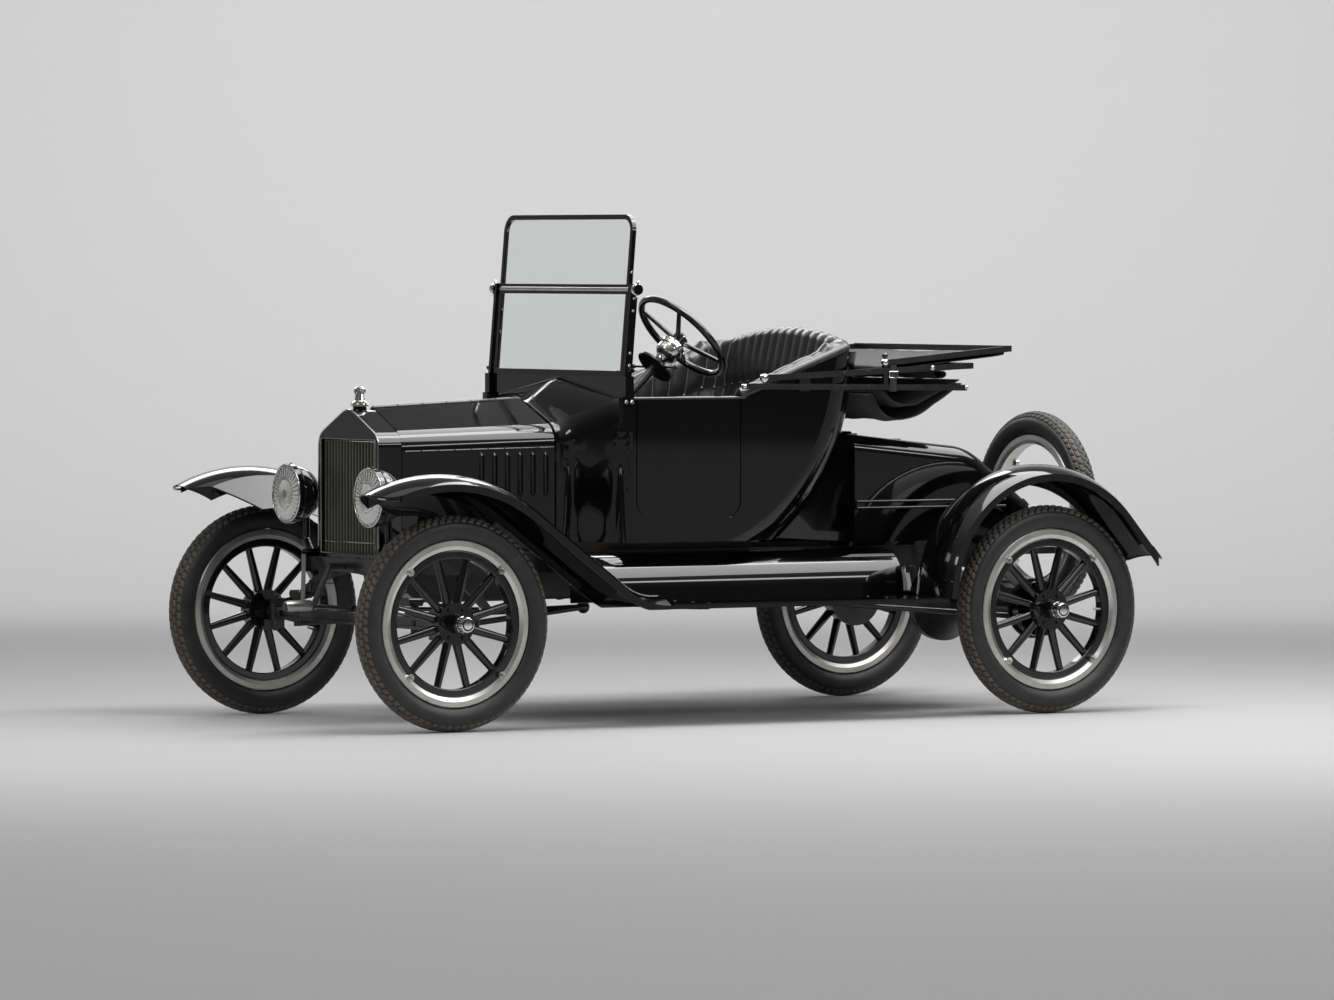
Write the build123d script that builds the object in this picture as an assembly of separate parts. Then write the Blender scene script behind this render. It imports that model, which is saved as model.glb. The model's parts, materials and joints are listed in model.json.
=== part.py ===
"""Brass era runabout: an open two-seat car on a ladder frame, with transverse springs, wooden spoked
wheels on demountable rims, a folding windshield, a folded cloth top, and a turtle deck with a spare behind it.

Lengths are in millimetres. The row frame has +X forward, +Y to the left and +Z up, with the ground at Z = 0.
Along the car, places are stations: distances behind the front axle.
"""

from build123d import *
import math
import os

# Wheels and stance
WHEELBASE = 2540
TRACK = 1422
TYRE_R = 387.5
TYRE_W = 95
TYRE_BEAD_R = 300
RIM_INNER_R = 264
RIM_W = 62
RIM_BASE_W = 48
RIM_LIP = 3
LUG_COUNT = 4
LUG_R = 13
LUG_T = 15
FELLOE_DEPTH = 30
FELLOE_W = 44
SPOKE_COUNT = 12
SPOKE_ROOT_R = 17
SPOKE_TIP_R = 13
HUB_FLANGE_R = 76
HUB_FLANGE_T = 11
HUB_R = 38
HUB_INNER_REACH = 58
HUB_OUTER_REACH = 72
HUB_CAP_R = 28
HUB_CAP_REACH = 46
DRUM_R = 103
DRUM_W = 42
DRUM_WALL = 6
SPINDLE_R = 16
SEAT_GAP = 0.3
RUN_GAP = 0.3
MOVE_GAP = 5

# Ladder frame
FRAME_TOP = 620
FRAME_HALF_W = 292
RAIL_H = 76
RAIL_FLANGE = 38
RAIL_T = 5
RAIL_FRONT_STATION = -66
RAIL_REAR_OVERHANG = 62
CROSS_W = 90
CROSS_DROP = 20

# Front axle and steering
AXLE_DROP = 7.5
AXLE_H = 44
AXLE_W = 34
AXLE_WEB = 12
KINGPIN_Y = 615
KINGPIN_R = 9
KNUCKLE_R = 20
KNUCKLE_H = 66
EAR_T = 22
YOKE_REACH = 40
ARM_LENGTH = 150
ARM_W = 18
ROD_R = 9
TIE_PIN_R = 7
TIE_EYE_R = 16
DRAG_LINK_Y = -300
DRAG_LINK_R = 8
PERCH_Y = 440
PERCH_Z = 455
EYE_R = 15
SHACKLE_PIN_R = 8
SHACKLE_T = 6
SPRING_W = 44
LEAF_T = 7
FRONT_LEAVES = 7
FRONT_EYE_Y = 392
WISHBONE_R = 11
WISHBONE_STATION = 960
WISHBONE_Z = 402
BALL_R = 24

# Rear axle
REAR_TUBE_R = 38
DIFF_R = 145
DIFF_W = 170
BACKING_R = 112
BACKING_T = 8
BACKING_Y = 625
TORQUE_TUBE_R = 36
TORQUE_STATION = 990
TORQUE_Z = 480
RADIUS_ROD_R = 11
RADIUS_ROD_Y = 560
REAR_PERCH_Y = 545
REAR_PERCH_Z = 446
REAR_EYE_Y = 490
REAR_LEAVES = 8

# Engine and exhaust
ENGINE_FRONT = 118
ENGINE_REAR = 612
ENGINE_HALF_W = 120
ENGINE_BASE = 560
BLOCK_TOP = 880
HEAD_H = 62
HEAD_HALF_W = 92
PAN_BOTTOM = 432
GEARBOX_REAR = 855
TAIL_REAR = 985
TAIL_R = 70
GEARBOX_HALF_W = 150
GEARBOX_TOP = 690
GEARBOX_BOTTOM = 440
EAR_LENGTH = 46
ENGINE_EAR_T = 6
EXHAUST_R = 22
EXHAUST_Y = -185
MUFFLER_R = 60
MUFFLER_FRONT = 1180
MUFFLER_LENGTH = 520
MUFFLER_Z = 522

# Radiator
RADIATOR_FRONT = -30
RADIATOR_DEPTH = 95
RADIATOR_HALF_W = 226
RADIATOR_FOOT_R = 26
RADIATOR_SHOULDER_R = 62
RADIATOR_APEX_R = 110
SHOULDER_Z = 1046
APEX_Z = 1152
CORE_HALF_W = 205
CORE_BOTTOM_RAIL = 14
CORE_TOP = 1034
FIN_COUNT = 26
FIN_SLOT_W = 6
FIN_DEPTH = 6
NECK_R = 25
NECK_TOP = 1152
CAP_R = 31
CAP_H = 70

# Hood, firewall and cowl
FIREWALL_STATION = 690
FIREWALL_T = 14
HOOD_T = 4
HOOD_BOTTOM = 632
HOOD_FRONT_TOP = 1146
HOOD_REAR_TOP = 1174
HOOD_FRONT_HALF_W = 222
HOOD_REAR_HALF_W = 262
HOOD_FRONT_SHOULDER = 1048
HOOD_REAR_SHOULDER = 1066
HOOD_SHOULDER_R = 84
HINGE_ROD_R = 4.5
KNUCKLE_WALL = 3.5
HINGE_KNUCKLES = 6
LOUVRE_COUNT = 6
LOUVRE_PITCH = 52
LOUVRE_R = 9
LOUVRE_SLOT = 6
LOUVRE_H = 140
LOUVRE_TOP = 972
LOUVRE_LAST_STATION = 648
COWL_END = 872
COWL_HALF_W = 266
COWL_FRONT_TOP = 1180
COWL_FRONT_SHOULDER = 1072
COWL_REAR_TOP = 1256
COWL_WALL = 20
COWL_SECTIONS = 6
COWL_SHOULDER_R = 80
COWL_APEX_R = 120

# Body tub
BODY_HALF_W = 505
BODY_BOTTOM = 655
BODY_WALL = 28
BELT_Z = 1180
BELT_END = 1350
BACK_TOP_Z = 1345
BACK_TOP_START = 1800
BACK_ARC = ((1560, 655), (1738, 851), (1866, 1160))
BACK_CORNER_R = 150
BACK_SPLIT = 1500
DOOR_FRONT = 885
DOOR_REAR = 1335
DOOR_SILL = 738
DOOR_CORNER_R = 70
GROOVE_W = 7
GROOVE_D = 4
FLOOR_T = 22
SILL_W = 38
TOE_TOP_Z = 850
TOE_FOOT = 905
SEAT_FRONT = 1352
SEAT_DECK_Z = 905
SEAT_BOARD_T = 16
CUSHION_T = 125
CUSHION_SIDE = 66
PAD_T = 88
PAD_CROWN_Z = 1432
PAD_SIDE_Z = 1352
ARM_PAD_RISE = 24
ARM_PAD_END = (1700, 1345)
PAD_CROWN_STATION = 1768
DOOR_HINGE_R = 8
DOOR_HINGE_ZS = (840, 1090)
DOOR_HINGE_H = 60

# Turtle deck
DECK_FRONT = 1878
DECK_HALF_W = 425
DECK_BOTTOM = 640
DECK_WALL = 22
DECK_FRONT_Z = 1040
DECK_KNEE = (2400, 985)
DECK_REAR = (2690, 760)
DECK_EDGE_R = 60
DECK_KNEE_R = 220
DECK_BEAD_Z = 777
DECK_BEAD_H = 26
DECK_BEAD_T = 7
LID_LENGTH = 400
LID_HALF_W = 285
LID_HINGE_R = 8
LID_HINGE_HALF = 25
LID_HINGE_IN = 90
HANDLE_R = 4
HANDLE_POST_R = 3
HANDLE_HALF = 34
HANDLE_H = 14

# Fenders, running boards and aprons
FENDER_OUT = 838
FENDER_IN = 592
FENDER_T = 4
FENDER_CROWN = 34
FENDER_LIP = 26
FENDER_SKIRT = 46
FENDER_APRON = (105, 118)
FRONT_FENDER = ((-336, 822), (-70, 889), (290, 772))
FRONT_FENDER_SWEEP = 0.95
FRONT_TIP = -352
FRONT_TIP_R = 105
FRONT_TIP_IN = (645, -120)
REAR_TIP_R = 70
REAR_TIP_OUT = 24
REAR_FENDER_ARC = ((2048, 500), (2420, 888), (2830, 738))
REAR_FENDER_END_Z = 560
BOARD_FRONT = 838
BOARD_REAR = 2030
BOARD_IN = 520
BOARD_Z = 440
BOARD_T = 14
BOARD_RIB_H = 3
BOARD_RIBS = 14
BRACKET_W = 34
BRACKET_T = 14
APRON_T = 4
APRON_ROLL_R = 135
APRON_FRONT = 600

# Lamps
LAMP_Y = 310
LAMP_Z = 828
LAMP_FRONT = -118
LAMP_R = 110
LAMP_DEPTH = 118
LAMP_BACK_R = 46
LAMP_WALL = 4
LENS_R = 103
LENS_T = 6
POST_R = 13

# Windshield
SHIELD_STATION = 856
SHIELD_RAKE = 4.8
SHIELD_HALF_W = 470
SHIELD_BOTTOM = 1262
SHIELD_MID = 1578
SHIELD_TOP = 1852
SHIELD_BAR = 18
SHIELD_DEPTH = 16
SHIELD_CORNER_R = 62
SHIELD_FILLER_T = 6
GLASS_T = 6
STANCHION_W = 30
STANCHION_T = 16
STANCHION_GAP = 14
CLAMP_R = 19
CLAMP_REACH = 30

# Steering column and controls
WHEEL_STATION = 1250
WHEEL_Y = 224
WHEEL_Z = 1403
COLUMN_ANGLE = 43.5
COLUMN_R = 16
COLUMN_BORE_R = 10.8
FOOT_PLATE_T = 6
STEER_RIM_R = 190
STEER_GRIP_R = 13
STEER_HUB_R = 30
STEER_ARMS = 4
STEER_DISH = 45
GEAR_CASE_R = 44
GEAR_CASE_H = 52
PITMAN_R = 10.5
PITMAN_EYE_R = 22
PITMAN_TIP_R = 14
PITMAN_ARM_T = 18
PITMAN_REACH = 150
PITMAN_BALL_R = 15
PEDAL_YS = (-30, 40, 110)
PEDAL_R = 9
PEDAL_PAD = 80
PEDAL_PAD_W = 60
LEVER_STATION = 1060
LEVER_LEAN = 90
LEVER_H = 430
LEVER_R = 10
CRANK_R = 11
CRANK_REACH = 60
CRANK_THROW = (130, 150)
CRANK_GRIP = 120

# Folded top
TOP_BAR = 22
SADDLE_STATION = 1600
SADDLE_W = 44
POST_STATION = 1944
POST_W = 18
POST_H = 84
TOP_BARS = (
    ((1330, 1222), (2140, 1212), 2300),
    ((1420, 1252), (2150, 1284), 2330),
    ((1935, 1304), (2470, 1352), 2500),
)
TOP_BUNDLE = (
    (1948, 1290),
    (2440, 1338),
    (2300, 1308),
    (2290, 1270),
    (2270, 1225),
    (2240, 1190),
    (2120, 1110),
    (2040, 1092),
    (1960, 1120),
)

# Spare wheel
SPARE_STATION = 2965
SPARE_Z = 721
CARRIER_T = 9
CARRIER_W = 36
CARRIER_BAR_Y = 200
CARRIER_BAR = 26

# Worked-out places
REAR_REACH = SPARE_STATION + TYRE_W / 2
FRONT_AXLE_X = (REAR_REACH - TYRE_R) / 2
FRAME_BOTTOM = FRAME_TOP - RAIL_H
CROSS_TOP = FRAME_TOP - CROSS_DROP
AXLE_Z = TYRE_R - AXLE_DROP
FELLOE_R = RIM_INNER_R - SEAT_GAP
FELLOE_INNER_R = FELLOE_R - FELLOE_DEPTH
HINGE_SLOPE = (HOOD_REAR_TOP - HOOD_FRONT_TOP) / (FIREWALL_STATION - RADIATOR_FRONT - RADIATOR_DEPTH)
FLOOR_TOP = BODY_BOTTOM + FLOOR_T
COLUMN_SLOPE = math.tan(math.radians(COLUMN_ANGLE))
DOOR_HINGE_STATION = DOOR_FRONT + 2.5
DOOR_HINGE_Y = -BODY_HALF_W - DOOR_HINGE_R - 2
PEDAL_STATION = TOE_FOOT - 105
LEVER_Y = BODY_HALF_W - 105
LID_FRONT = DECK_FRONT + 107
LID_REAR = LID_FRONT + LID_LENGTH
TOP_HALF_W = BODY_HALF_W + 17
TOP_FABRIC_HALF_W = TOP_HALF_W - SEAT_GAP
REAR_FENDER_FOOT_Z = BOARD_Z - SEAT_GAP


def x_at(station):
    return FRONT_AXLE_X - station


def point(station, y, z):
    return Vector(x_at(station), y, z)


def side_plane(y=0):
    """Sketches here are in (station, z), and extrude towards +Y."""
    return Plane(origin=(FRONT_AXLE_X, y, 0), x_dir=(-1, 0, 0), z_dir=(0, 1, 0))


def cross_plane(station):
    """Sketches here are in (y, z), and extrude towards the front."""
    return Plane(origin=(x_at(station), 0, 0), x_dir=(0, 1, 0), z_dir=(1, 0, 0))


def block(s0, s1, y0, y1, z0, z1):
    middle = Pos(x_at((s0 + s1) / 2), (y0 + y1) / 2, (z0 + z1) / 2)
    return middle * Box(abs(s1 - s0), abs(y1 - y0), abs(z1 - z0))


def rod(start, end, radius, end_radius=None):
    """A round bar between two (station, y, z) points."""
    a = point(*start)
    along = point(*end) - a
    frame = Plane(origin=a, z_dir=along)
    low = (Align.CENTER, Align.CENTER, Align.MIN)
    if end_radius is None:
        return frame * Cylinder(radius, along.length, align=low)
    return frame * Cone(radius, end_radius, along.length, align=low)


def side_prism(points, y0, y1):
    """A polygon of (station, z) points, from y0 to y1."""
    return extrude(side_plane(y0) * make_face(Polyline(*points, close=True)), amount=y1 - y0)


def cross_prism(points, front, rear):
    """A polygon of (y, z) points, from one station to another further back."""
    return extrude(cross_plane(rear) * make_face(Polyline(*points, close=True)), amount=rear - front)


def other_side(shape):
    return mirror(shape, about=Plane.XZ)


def both_sides(shape):
    return shape + other_side(shape)


def band(points, radius, thickness, side=Side.RIGHT):
    """A flat strip of even thickness along a path with rounded corners."""
    path = FilletPolyline(*points, radius=radius) if radius else Polyline(*points)
    return make_face(offset(path, amount=thickness, side=side).edges())


# Wheels


def tyre():
    section = Pos(TYRE_R - TYRE_W / 2, 0) * Circle(TYRE_W / 2)
    bead = Pos(TYRE_BEAD_R / 2, 0) * Rectangle(TYRE_BEAD_R, TYRE_W)
    return revolve(section - bead, Axis.Y)


def rim():
    outer = TYRE_BEAD_R - SEAT_GAP
    step = RIM_INNER_R + (RIM_W - RIM_BASE_W)
    half = [
        (RIM_INNER_R, RIM_BASE_W / 2),
        (step, RIM_W / 2),
        (outer - RIM_LIP, RIM_W / 2),
        (outer, RIM_W / 2 - RIM_LIP),
    ]
    outline = half + [(r, -y) for r, y in reversed(half)]
    ring = revolve(make_face(Polyline(*outline, close=True)), Axis.Y)
    face = FELLOE_W / 2 + SEAT_GAP
    lug = Pos(0, face + LUG_T / 2, RIM_INNER_R) * Rot(90, 0, 0) * Cylinder(LUG_R, LUG_T)
    turns = [Rot(0, 45 + k * 360 / LUG_COUNT, 0) for k in range(LUG_COUNT)]
    return ring + [turn * lug for turn in turns]


def wooden_wheel(drum=False):
    """Hub, spokes and felloe, with the outer side of the wheel towards +Y."""
    bore = SPINDLE_R + RUN_GAP
    flange = FELLOE_W / 2 + HUB_FLANGE_T
    hub_outline = [
        (bore, -HUB_INNER_REACH),
        (HUB_R, -HUB_INNER_REACH),
        (HUB_R, -flange),
        (HUB_FLANGE_R, -flange),
        (HUB_FLANGE_R, flange),
        (HUB_R, flange),
        (HUB_R - 4, HUB_OUTER_REACH),
        (HUB_CAP_R, HUB_OUTER_REACH),
        (HUB_CAP_R, HUB_OUTER_REACH + HUB_CAP_REACH - 6),
        (HUB_CAP_R - 6, HUB_OUTER_REACH + HUB_CAP_REACH),
        (0, HUB_OUTER_REACH + HUB_CAP_REACH),
        (0, HUB_OUTER_REACH),
        (bore, HUB_OUTER_REACH),
    ]
    hub = revolve(make_face(Polyline(*hub_outline, close=True)), Axis.Y)
    felloe_mid = (FELLOE_R + FELLOE_INNER_R) / 2
    felloe = revolve(Pos(felloe_mid, 0) * RectangleRounded(FELLOE_DEPTH, FELLOE_W, 6), Axis.Y)
    root = HUB_FLANGE_R - HUB_R / 2
    length = FELLOE_INNER_R + FELLOE_DEPTH / 3 - root
    low = (Align.CENTER, Align.CENTER, Align.MIN)
    spoke = Pos(0, 0, root) * Cone(SPOKE_ROOT_R, SPOKE_TIP_R, length, align=low)
    turns = [Rot(0, (k + 0.5) * 360 / SPOKE_COUNT, 0) for k in range(SPOKE_COUNT)]
    wheel = hub + [felloe] + [turn * spoke for turn in turns]
    if drum:
        depth = flange + DRUM_W
        disc = [
            (HUB_R - 4, -flange - DRUM_WALL),
            (DRUM_R - DRUM_WALL, -flange - DRUM_WALL),
            (DRUM_R - DRUM_WALL, -depth),
            (DRUM_R, -depth),
            (DRUM_R, -flange),
            (HUB_R - 4, -flange),
        ]
        wheel = wheel + revolve(make_face(Polyline(*disc, close=True)), Axis.Y)
    return wheel


def wheel_nodes():
    """Three nodes for each road wheel: its tyre, its demountable rim and its wooden wheel."""
    rubber, ring = tyre(), rim()
    wood = {"front": wooden_wheel(), "rear": wooden_wheel(drum=True)}
    made = {}
    for end, station in (("front", 0), ("rear", WHEELBASE)):
        for side, sign in (("left", 1), ("right", -1)):
            turn = Rot(0, 0, 0 if sign > 0 else 180)
            place = Pos(x_at(station), sign * TRACK / 2, TYRE_R) * turn
            made[f"tyre_{end}_{side}"] = place * rubber
            made[f"rim_{end}_{side}"] = place * ring
            made[f"wheel_{end}_{side}"] = place * wood[end]
    return made


# Frame


def frame_rails():
    inner = FRAME_HALF_W - RAIL_FLANGE
    web = FRAME_HALF_W - RAIL_T
    channel = [
        (FRAME_HALF_W, FRAME_BOTTOM),
        (FRAME_HALF_W, FRAME_TOP),
        (inner, FRAME_TOP),
        (inner, FRAME_TOP - RAIL_T),
        (web, FRAME_TOP - RAIL_T),
        (web, FRAME_BOTTOM + RAIL_T),
        (inner, FRAME_BOTTOM + RAIL_T),
        (inner, FRAME_BOTTOM),
    ]
    return both_sides(cross_prism(channel, RAIL_FRONT_STATION, WHEELBASE + RAIL_REAR_OVERHANG))


def crossmember(station):
    """An inverted channel between the rails, open below for the spring."""
    reach = FRAME_HALF_W - RAIL_T
    low = FRAME_BOTTOM + RAIL_T
    solid = block(station - CROSS_W / 2, station + CROSS_W / 2, -reach, reach, low, CROSS_TOP)
    half = CROSS_W / 2 - RAIL_T
    hollow = block(station - half, station + half, -reach, reach, low - 1, CROSS_TOP - RAIL_T)
    return solid - hollow


def frame_crossmembers():
    return crossmember(0) + crossmember(WHEELBASE)


# Springs and axles


def leaf_spring(station, eye_y, eye_z, leaves):
    """Arched leaves stacked above the main leaf, with the eyes and shackles at its ends."""
    top = CROSS_TOP - RAIL_T
    main_z = top - leaves * LEAF_T
    rise = main_z - eye_z
    radius = (eye_y**2 + rise**2) / (2 * rise)
    centre_z = main_z - radius
    pack = None
    for k in range(leaves):
        span = math.asin(eye_y / radius) * (1 - 0.14 * k)
        low, high = radius + k * LEAF_T, radius + (k + 1) * LEAF_T
        lower = [(low * math.sin(a), centre_z + low * math.cos(a)) for a in (-span, 0, span)]
        upper = [(high * math.sin(a), centre_z + high * math.cos(a)) for a in (-span, 0, span)]
        outline = [
            ThreePointArc(*lower),
            Line(lower[2], upper[2]),
            ThreePointArc(*reversed(upper)),
            Line(upper[0], lower[0]),
        ]
        leaf = make_face(outline)
        pack = leaf if pack is None else pack + leaf
    half = SPRING_W / 2
    solid = extrude(cross_plane(station) * pack, amount=half, both=True)
    for sign in (-1, 1):
        eye_axis = (sign * eye_y, eye_z)
        solid = solid + rod((station - half, *eye_axis), (station + half, *eye_axis), EYE_R)
    return solid


def shackles(station, eye_y, perch_y, eye_z, perch_z):
    """Side plates and pins from the spring's eyes to the perches on the axle."""
    half = SPRING_W / 2
    made = []
    for sign in (-1, 1):
        for face in (-1, 1):
            plate_at = station + face * (half + SHACKLE_T / 2 + SEAT_GAP)
            ends = [(sign * eye_y, eye_z), (sign * perch_y, perch_z)]
            slot = make_hull([Pos(*e) * Circle(EYE_R).edge() for e in ends])
            made.append(extrude(cross_plane(plate_at) * slot, amount=SHACKLE_T / 2, both=True))
        for y, z in ((eye_y, eye_z), (perch_y, perch_z)):
            reach = half + SHACKLE_T
            made.append(rod((station - reach, sign * y, z), (station + reach, sign * y, z), SHACKLE_PIN_R))
    return made


def perch_eye(station, perch_y, perch_z, base_z):
    """The post and eye on an axle that carries a spring's shackle."""
    half = SPRING_W / 2
    hole = SHACKLE_PIN_R + RUN_GAP
    made = None
    for sign in (-1, 1):
        y = sign * perch_y
        post = rod((station, y, base_z), (station, y, perch_z), EYE_R)
        eye = rod((station - half, y, perch_z), (station + half, y, perch_z), EYE_R)
        bore = rod((station - half - 1, y, perch_z), (station + half + 1, y, perch_z), hole)
        piece = post + eye - bore
        made = piece if made is None else made + piece
    return made


def front_spring():
    made = leaf_spring(0, FRONT_EYE_Y, PERCH_Z, FRONT_LEAVES)
    return made + shackles(0, FRONT_EYE_Y, PERCH_Y, PERCH_Z, PERCH_Z)


def rear_spring():
    made = leaf_spring(WHEELBASE, REAR_EYE_Y, REAR_PERCH_Z, REAR_LEAVES)
    return made + shackles(WHEELBASE, REAR_EYE_Y, REAR_PERCH_Y, REAR_PERCH_Z, REAR_PERCH_Z)


def front_axle():
    """I-beam with a forked yoke at each end, spring perches, and the wishbone bolted under it."""
    low, high = AXLE_Z - AXLE_H / 2, AXLE_Z + AXLE_H / 2
    yoke_in = KINGPIN_Y - YOKE_REACH
    half_w = AXLE_W / 2
    flange = AXLE_H / 4
    beam = block(-half_w, half_w, -yoke_in, yoke_in, low, high)
    for face in (-1, 1):
        a, b = face * AXLE_WEB / 2, face * (half_w + 1)
        beam = beam - block(a, b, -yoke_in + 20, yoke_in - 20, low + flange, high - flange)
    ear_top = AXLE_Z + KNUCKLE_H / 2 + EAR_T
    ear_low = AXLE_Z - KNUCKLE_H / 2 - EAR_T
    web_out = KINGPIN_Y - KNUCKLE_R - MOVE_GAP
    for sign in (-1, 1):
        web = block(-half_w, half_w, sign * (yoke_in - 1), sign * web_out, ear_low, ear_top)
        made = web
        for z0, z1 in ((ear_low, ear_low + EAR_T), (ear_top - EAR_T, ear_top)):
            ear = block(-half_w, half_w, sign * yoke_in, sign * KINGPIN_Y, z0, z1)
            boss = rod((0, sign * KINGPIN_Y, z0), (0, sign * KINGPIN_Y, z1), half_w + 3)
            made = made + ear + boss
        hole_r = KINGPIN_R + RUN_GAP
        hole = rod((0, sign * KINGPIN_Y, ear_low - 1), (0, sign * KINGPIN_Y, ear_top + 1), hole_r)
        beam = beam + (made - hole)
    beam = beam + perch_eye(0, PERCH_Y, PERCH_Z, AXLE_Z)
    ball = (WISHBONE_STATION, 0, WISHBONE_Z)
    foot_z = low - WISHBONE_R
    for sign in (-1, 1):
        foot = rod((0, sign * PERCH_Y, foot_z - WISHBONE_R), (0, sign * PERCH_Y, AXLE_Z), EYE_R)
        arm = rod((0, sign * PERCH_Y, foot_z), ball, WISHBONE_R)
        beam = beam + foot + arm
    return beam + Pos(*point(*ball)) * Sphere(BALL_R)


def knuckle():
    """Left steering knuckle: boss, kingpin, wheel spindle and the arm that reaches back to the tie rod."""
    boss_half = KNUCKLE_H / 2 - RUN_GAP
    pin_reach = KNUCKLE_H / 2 + EAR_T
    y = KINGPIN_Y
    made = rod((0, y, AXLE_Z - boss_half), (0, y, AXLE_Z + boss_half), KNUCKLE_R)
    made = made + rod((0, y, AXLE_Z - pin_reach - 12), (0, y, AXLE_Z + pin_reach + RUN_GAP), KINGPIN_R)
    head = pin_reach + RUN_GAP
    made = made + rod((0, y, AXLE_Z + head), (0, y, AXLE_Z + head + 12), KINGPIN_R + 5)
    hub_end = TRACK / 2 - HUB_INNER_REACH - MOVE_GAP
    made = made + rod((0, y, TYRE_R), (0, hub_end, TYRE_R), SPINDLE_R + 6)
    tip = TRACK / 2 + HUB_OUTER_REACH - MOVE_GAP
    made = made + rod((0, y, TYRE_R), (0, tip, TYRE_R), SPINDLE_R)
    half_w = ARM_W / 2
    arm = block(0, ARM_LENGTH, y - half_w, y + half_w, AXLE_Z - half_w, AXLE_Z + half_w)
    end = rod((ARM_LENGTH, y, AXLE_Z - half_w), (ARM_LENGTH, y, AXLE_Z + half_w), TIE_EYE_R)
    pin = rod((ARM_LENGTH, y, AXLE_Z), (ARM_LENGTH, y, AXLE_Z + half_w + 2 * ROD_R + 8), TIE_PIN_R)
    return made + arm + end + pin


def tie_rod():
    """The rod that joins the two steering arms, with the drag link clamped to it."""
    eye_half = ROD_R + 3
    z = AXLE_Z + ARM_W / 2 + RUN_GAP + eye_half
    made = rod((ARM_LENGTH, -KINGPIN_Y, z), (ARM_LENGTH, KINGPIN_Y, z), ROD_R)
    for sign in (-1, 1):
        y = sign * KINGPIN_Y
        made = made + rod((ARM_LENGTH, y, z - eye_half), (ARM_LENGTH, y, z + eye_half), TIE_EYE_R)
        hole = rod((ARM_LENGTH, y, z - eye_half - 1), (ARM_LENGTH, y, z + eye_half + 1), TIE_PIN_R + RUN_GAP)
        made = made - hole
    clamp_from = (ARM_LENGTH, DRAG_LINK_Y - 20, z)
    made = made + rod(clamp_from, (ARM_LENGTH, DRAG_LINK_Y + 20, z), ROD_R + 5)
    ball = pitman_ball()
    short = PITMAN_BALL_R + 24
    start = Vector(ARM_LENGTH, DRAG_LINK_Y, z)
    link = Vector(*ball) - start
    end = start + link * (1 - short / link.length)
    return made + rod(tuple(start), tuple(end), DRAG_LINK_R)


def column_point(distance):
    """A (station, y, z) point on the steering column, measured down from the wheel's centre."""
    angle = math.radians(COLUMN_ANGLE)
    return (WHEEL_STATION - distance * math.cos(angle), WHEEL_Y, WHEEL_Z - distance * math.sin(angle))


def column_foot():
    """How far down the column its foot on the frame rail is."""
    return (WHEEL_Z - FRAME_TOP - 2 * COLUMN_R) / math.sin(math.radians(COLUMN_ANGLE))


def pitman_end():
    return column_point(column_foot() + 190)


def pitman_ball():
    station, y, z = pitman_end()
    angle = math.radians(COLUMN_ANGLE)
    return (station + PITMAN_REACH * math.sin(angle), y, z - PITMAN_REACH * math.cos(angle))


def pitman_arm():
    """Shaft in the column's foot, with the flat arm and ball that push the drag link."""
    shaft = rod(column_point(column_foot() - 120), pitman_end(), PITMAN_R)
    blade_ends = ((pitman_end(), PITMAN_EYE_R), (pitman_ball(), PITMAN_TIP_R))
    blade = make_hull([Pos(s, z) * Circle(r).edge() for (s, y, z), r in blade_ends])
    arm = extrude(side_plane(WHEEL_Y) * blade, amount=PITMAN_ARM_T / 2, both=True)
    return shaft + arm + Pos(*point(*pitman_ball())) * Sphere(PITMAN_BALL_R)


def rear_axle():
    """Axle tubes and differential, with the torque tube to the gearbox and its two radius rods."""
    s, z = WHEELBASE, TYRE_R
    face = BACKING_Y
    made = rod((s, -face, z), (s, face, z), REAR_TUBE_R)
    half = DIFF_W / 2
    bell = [(0, 0), (REAR_TUBE_R, half * 2), (REAR_TUBE_R + 18, half * 1.6), (DIFF_R - 20, half * 0.5)]
    rim_edge = [(DIFF_R, -half * 0.2), (DIFF_R, half * 0.2)]
    outline = [(0, -half * 2)] + [(r, -w) for r, w in bell[1:]] + rim_edge
    outline = outline + [(r, w) for r, w in reversed(bell[1:])] + [(0, half * 2)]
    made = made + Pos(x_at(s), 0, z) * revolve(make_face(Polyline(*outline, close=True)), Axis.Y)
    made = made + rod((s, 0, z), (TORQUE_STATION, 0, TORQUE_Z), TORQUE_TUBE_R)
    tip = TRACK / 2 + HUB_OUTER_REACH - MOVE_GAP
    made = made + rod((s, -tip, z), (s, tip, z), SPINDLE_R)
    for sign in (-1, 1):
        plate = rod((s, sign * face, z), (s, sign * (face - BACKING_T), z), BACKING_R)
        made = made + plate
        start = (s, sign * RADIUS_ROD_Y, z - REAR_TUBE_R + 4)
        made = made + rod(start, (TORQUE_STATION + 90, 0, TORQUE_Z - 10), RADIUS_ROD_R)
    return made + perch_eye(s, REAR_PERCH_Y, REAR_PERCH_Z, z)


# Engine and exhaust


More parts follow.
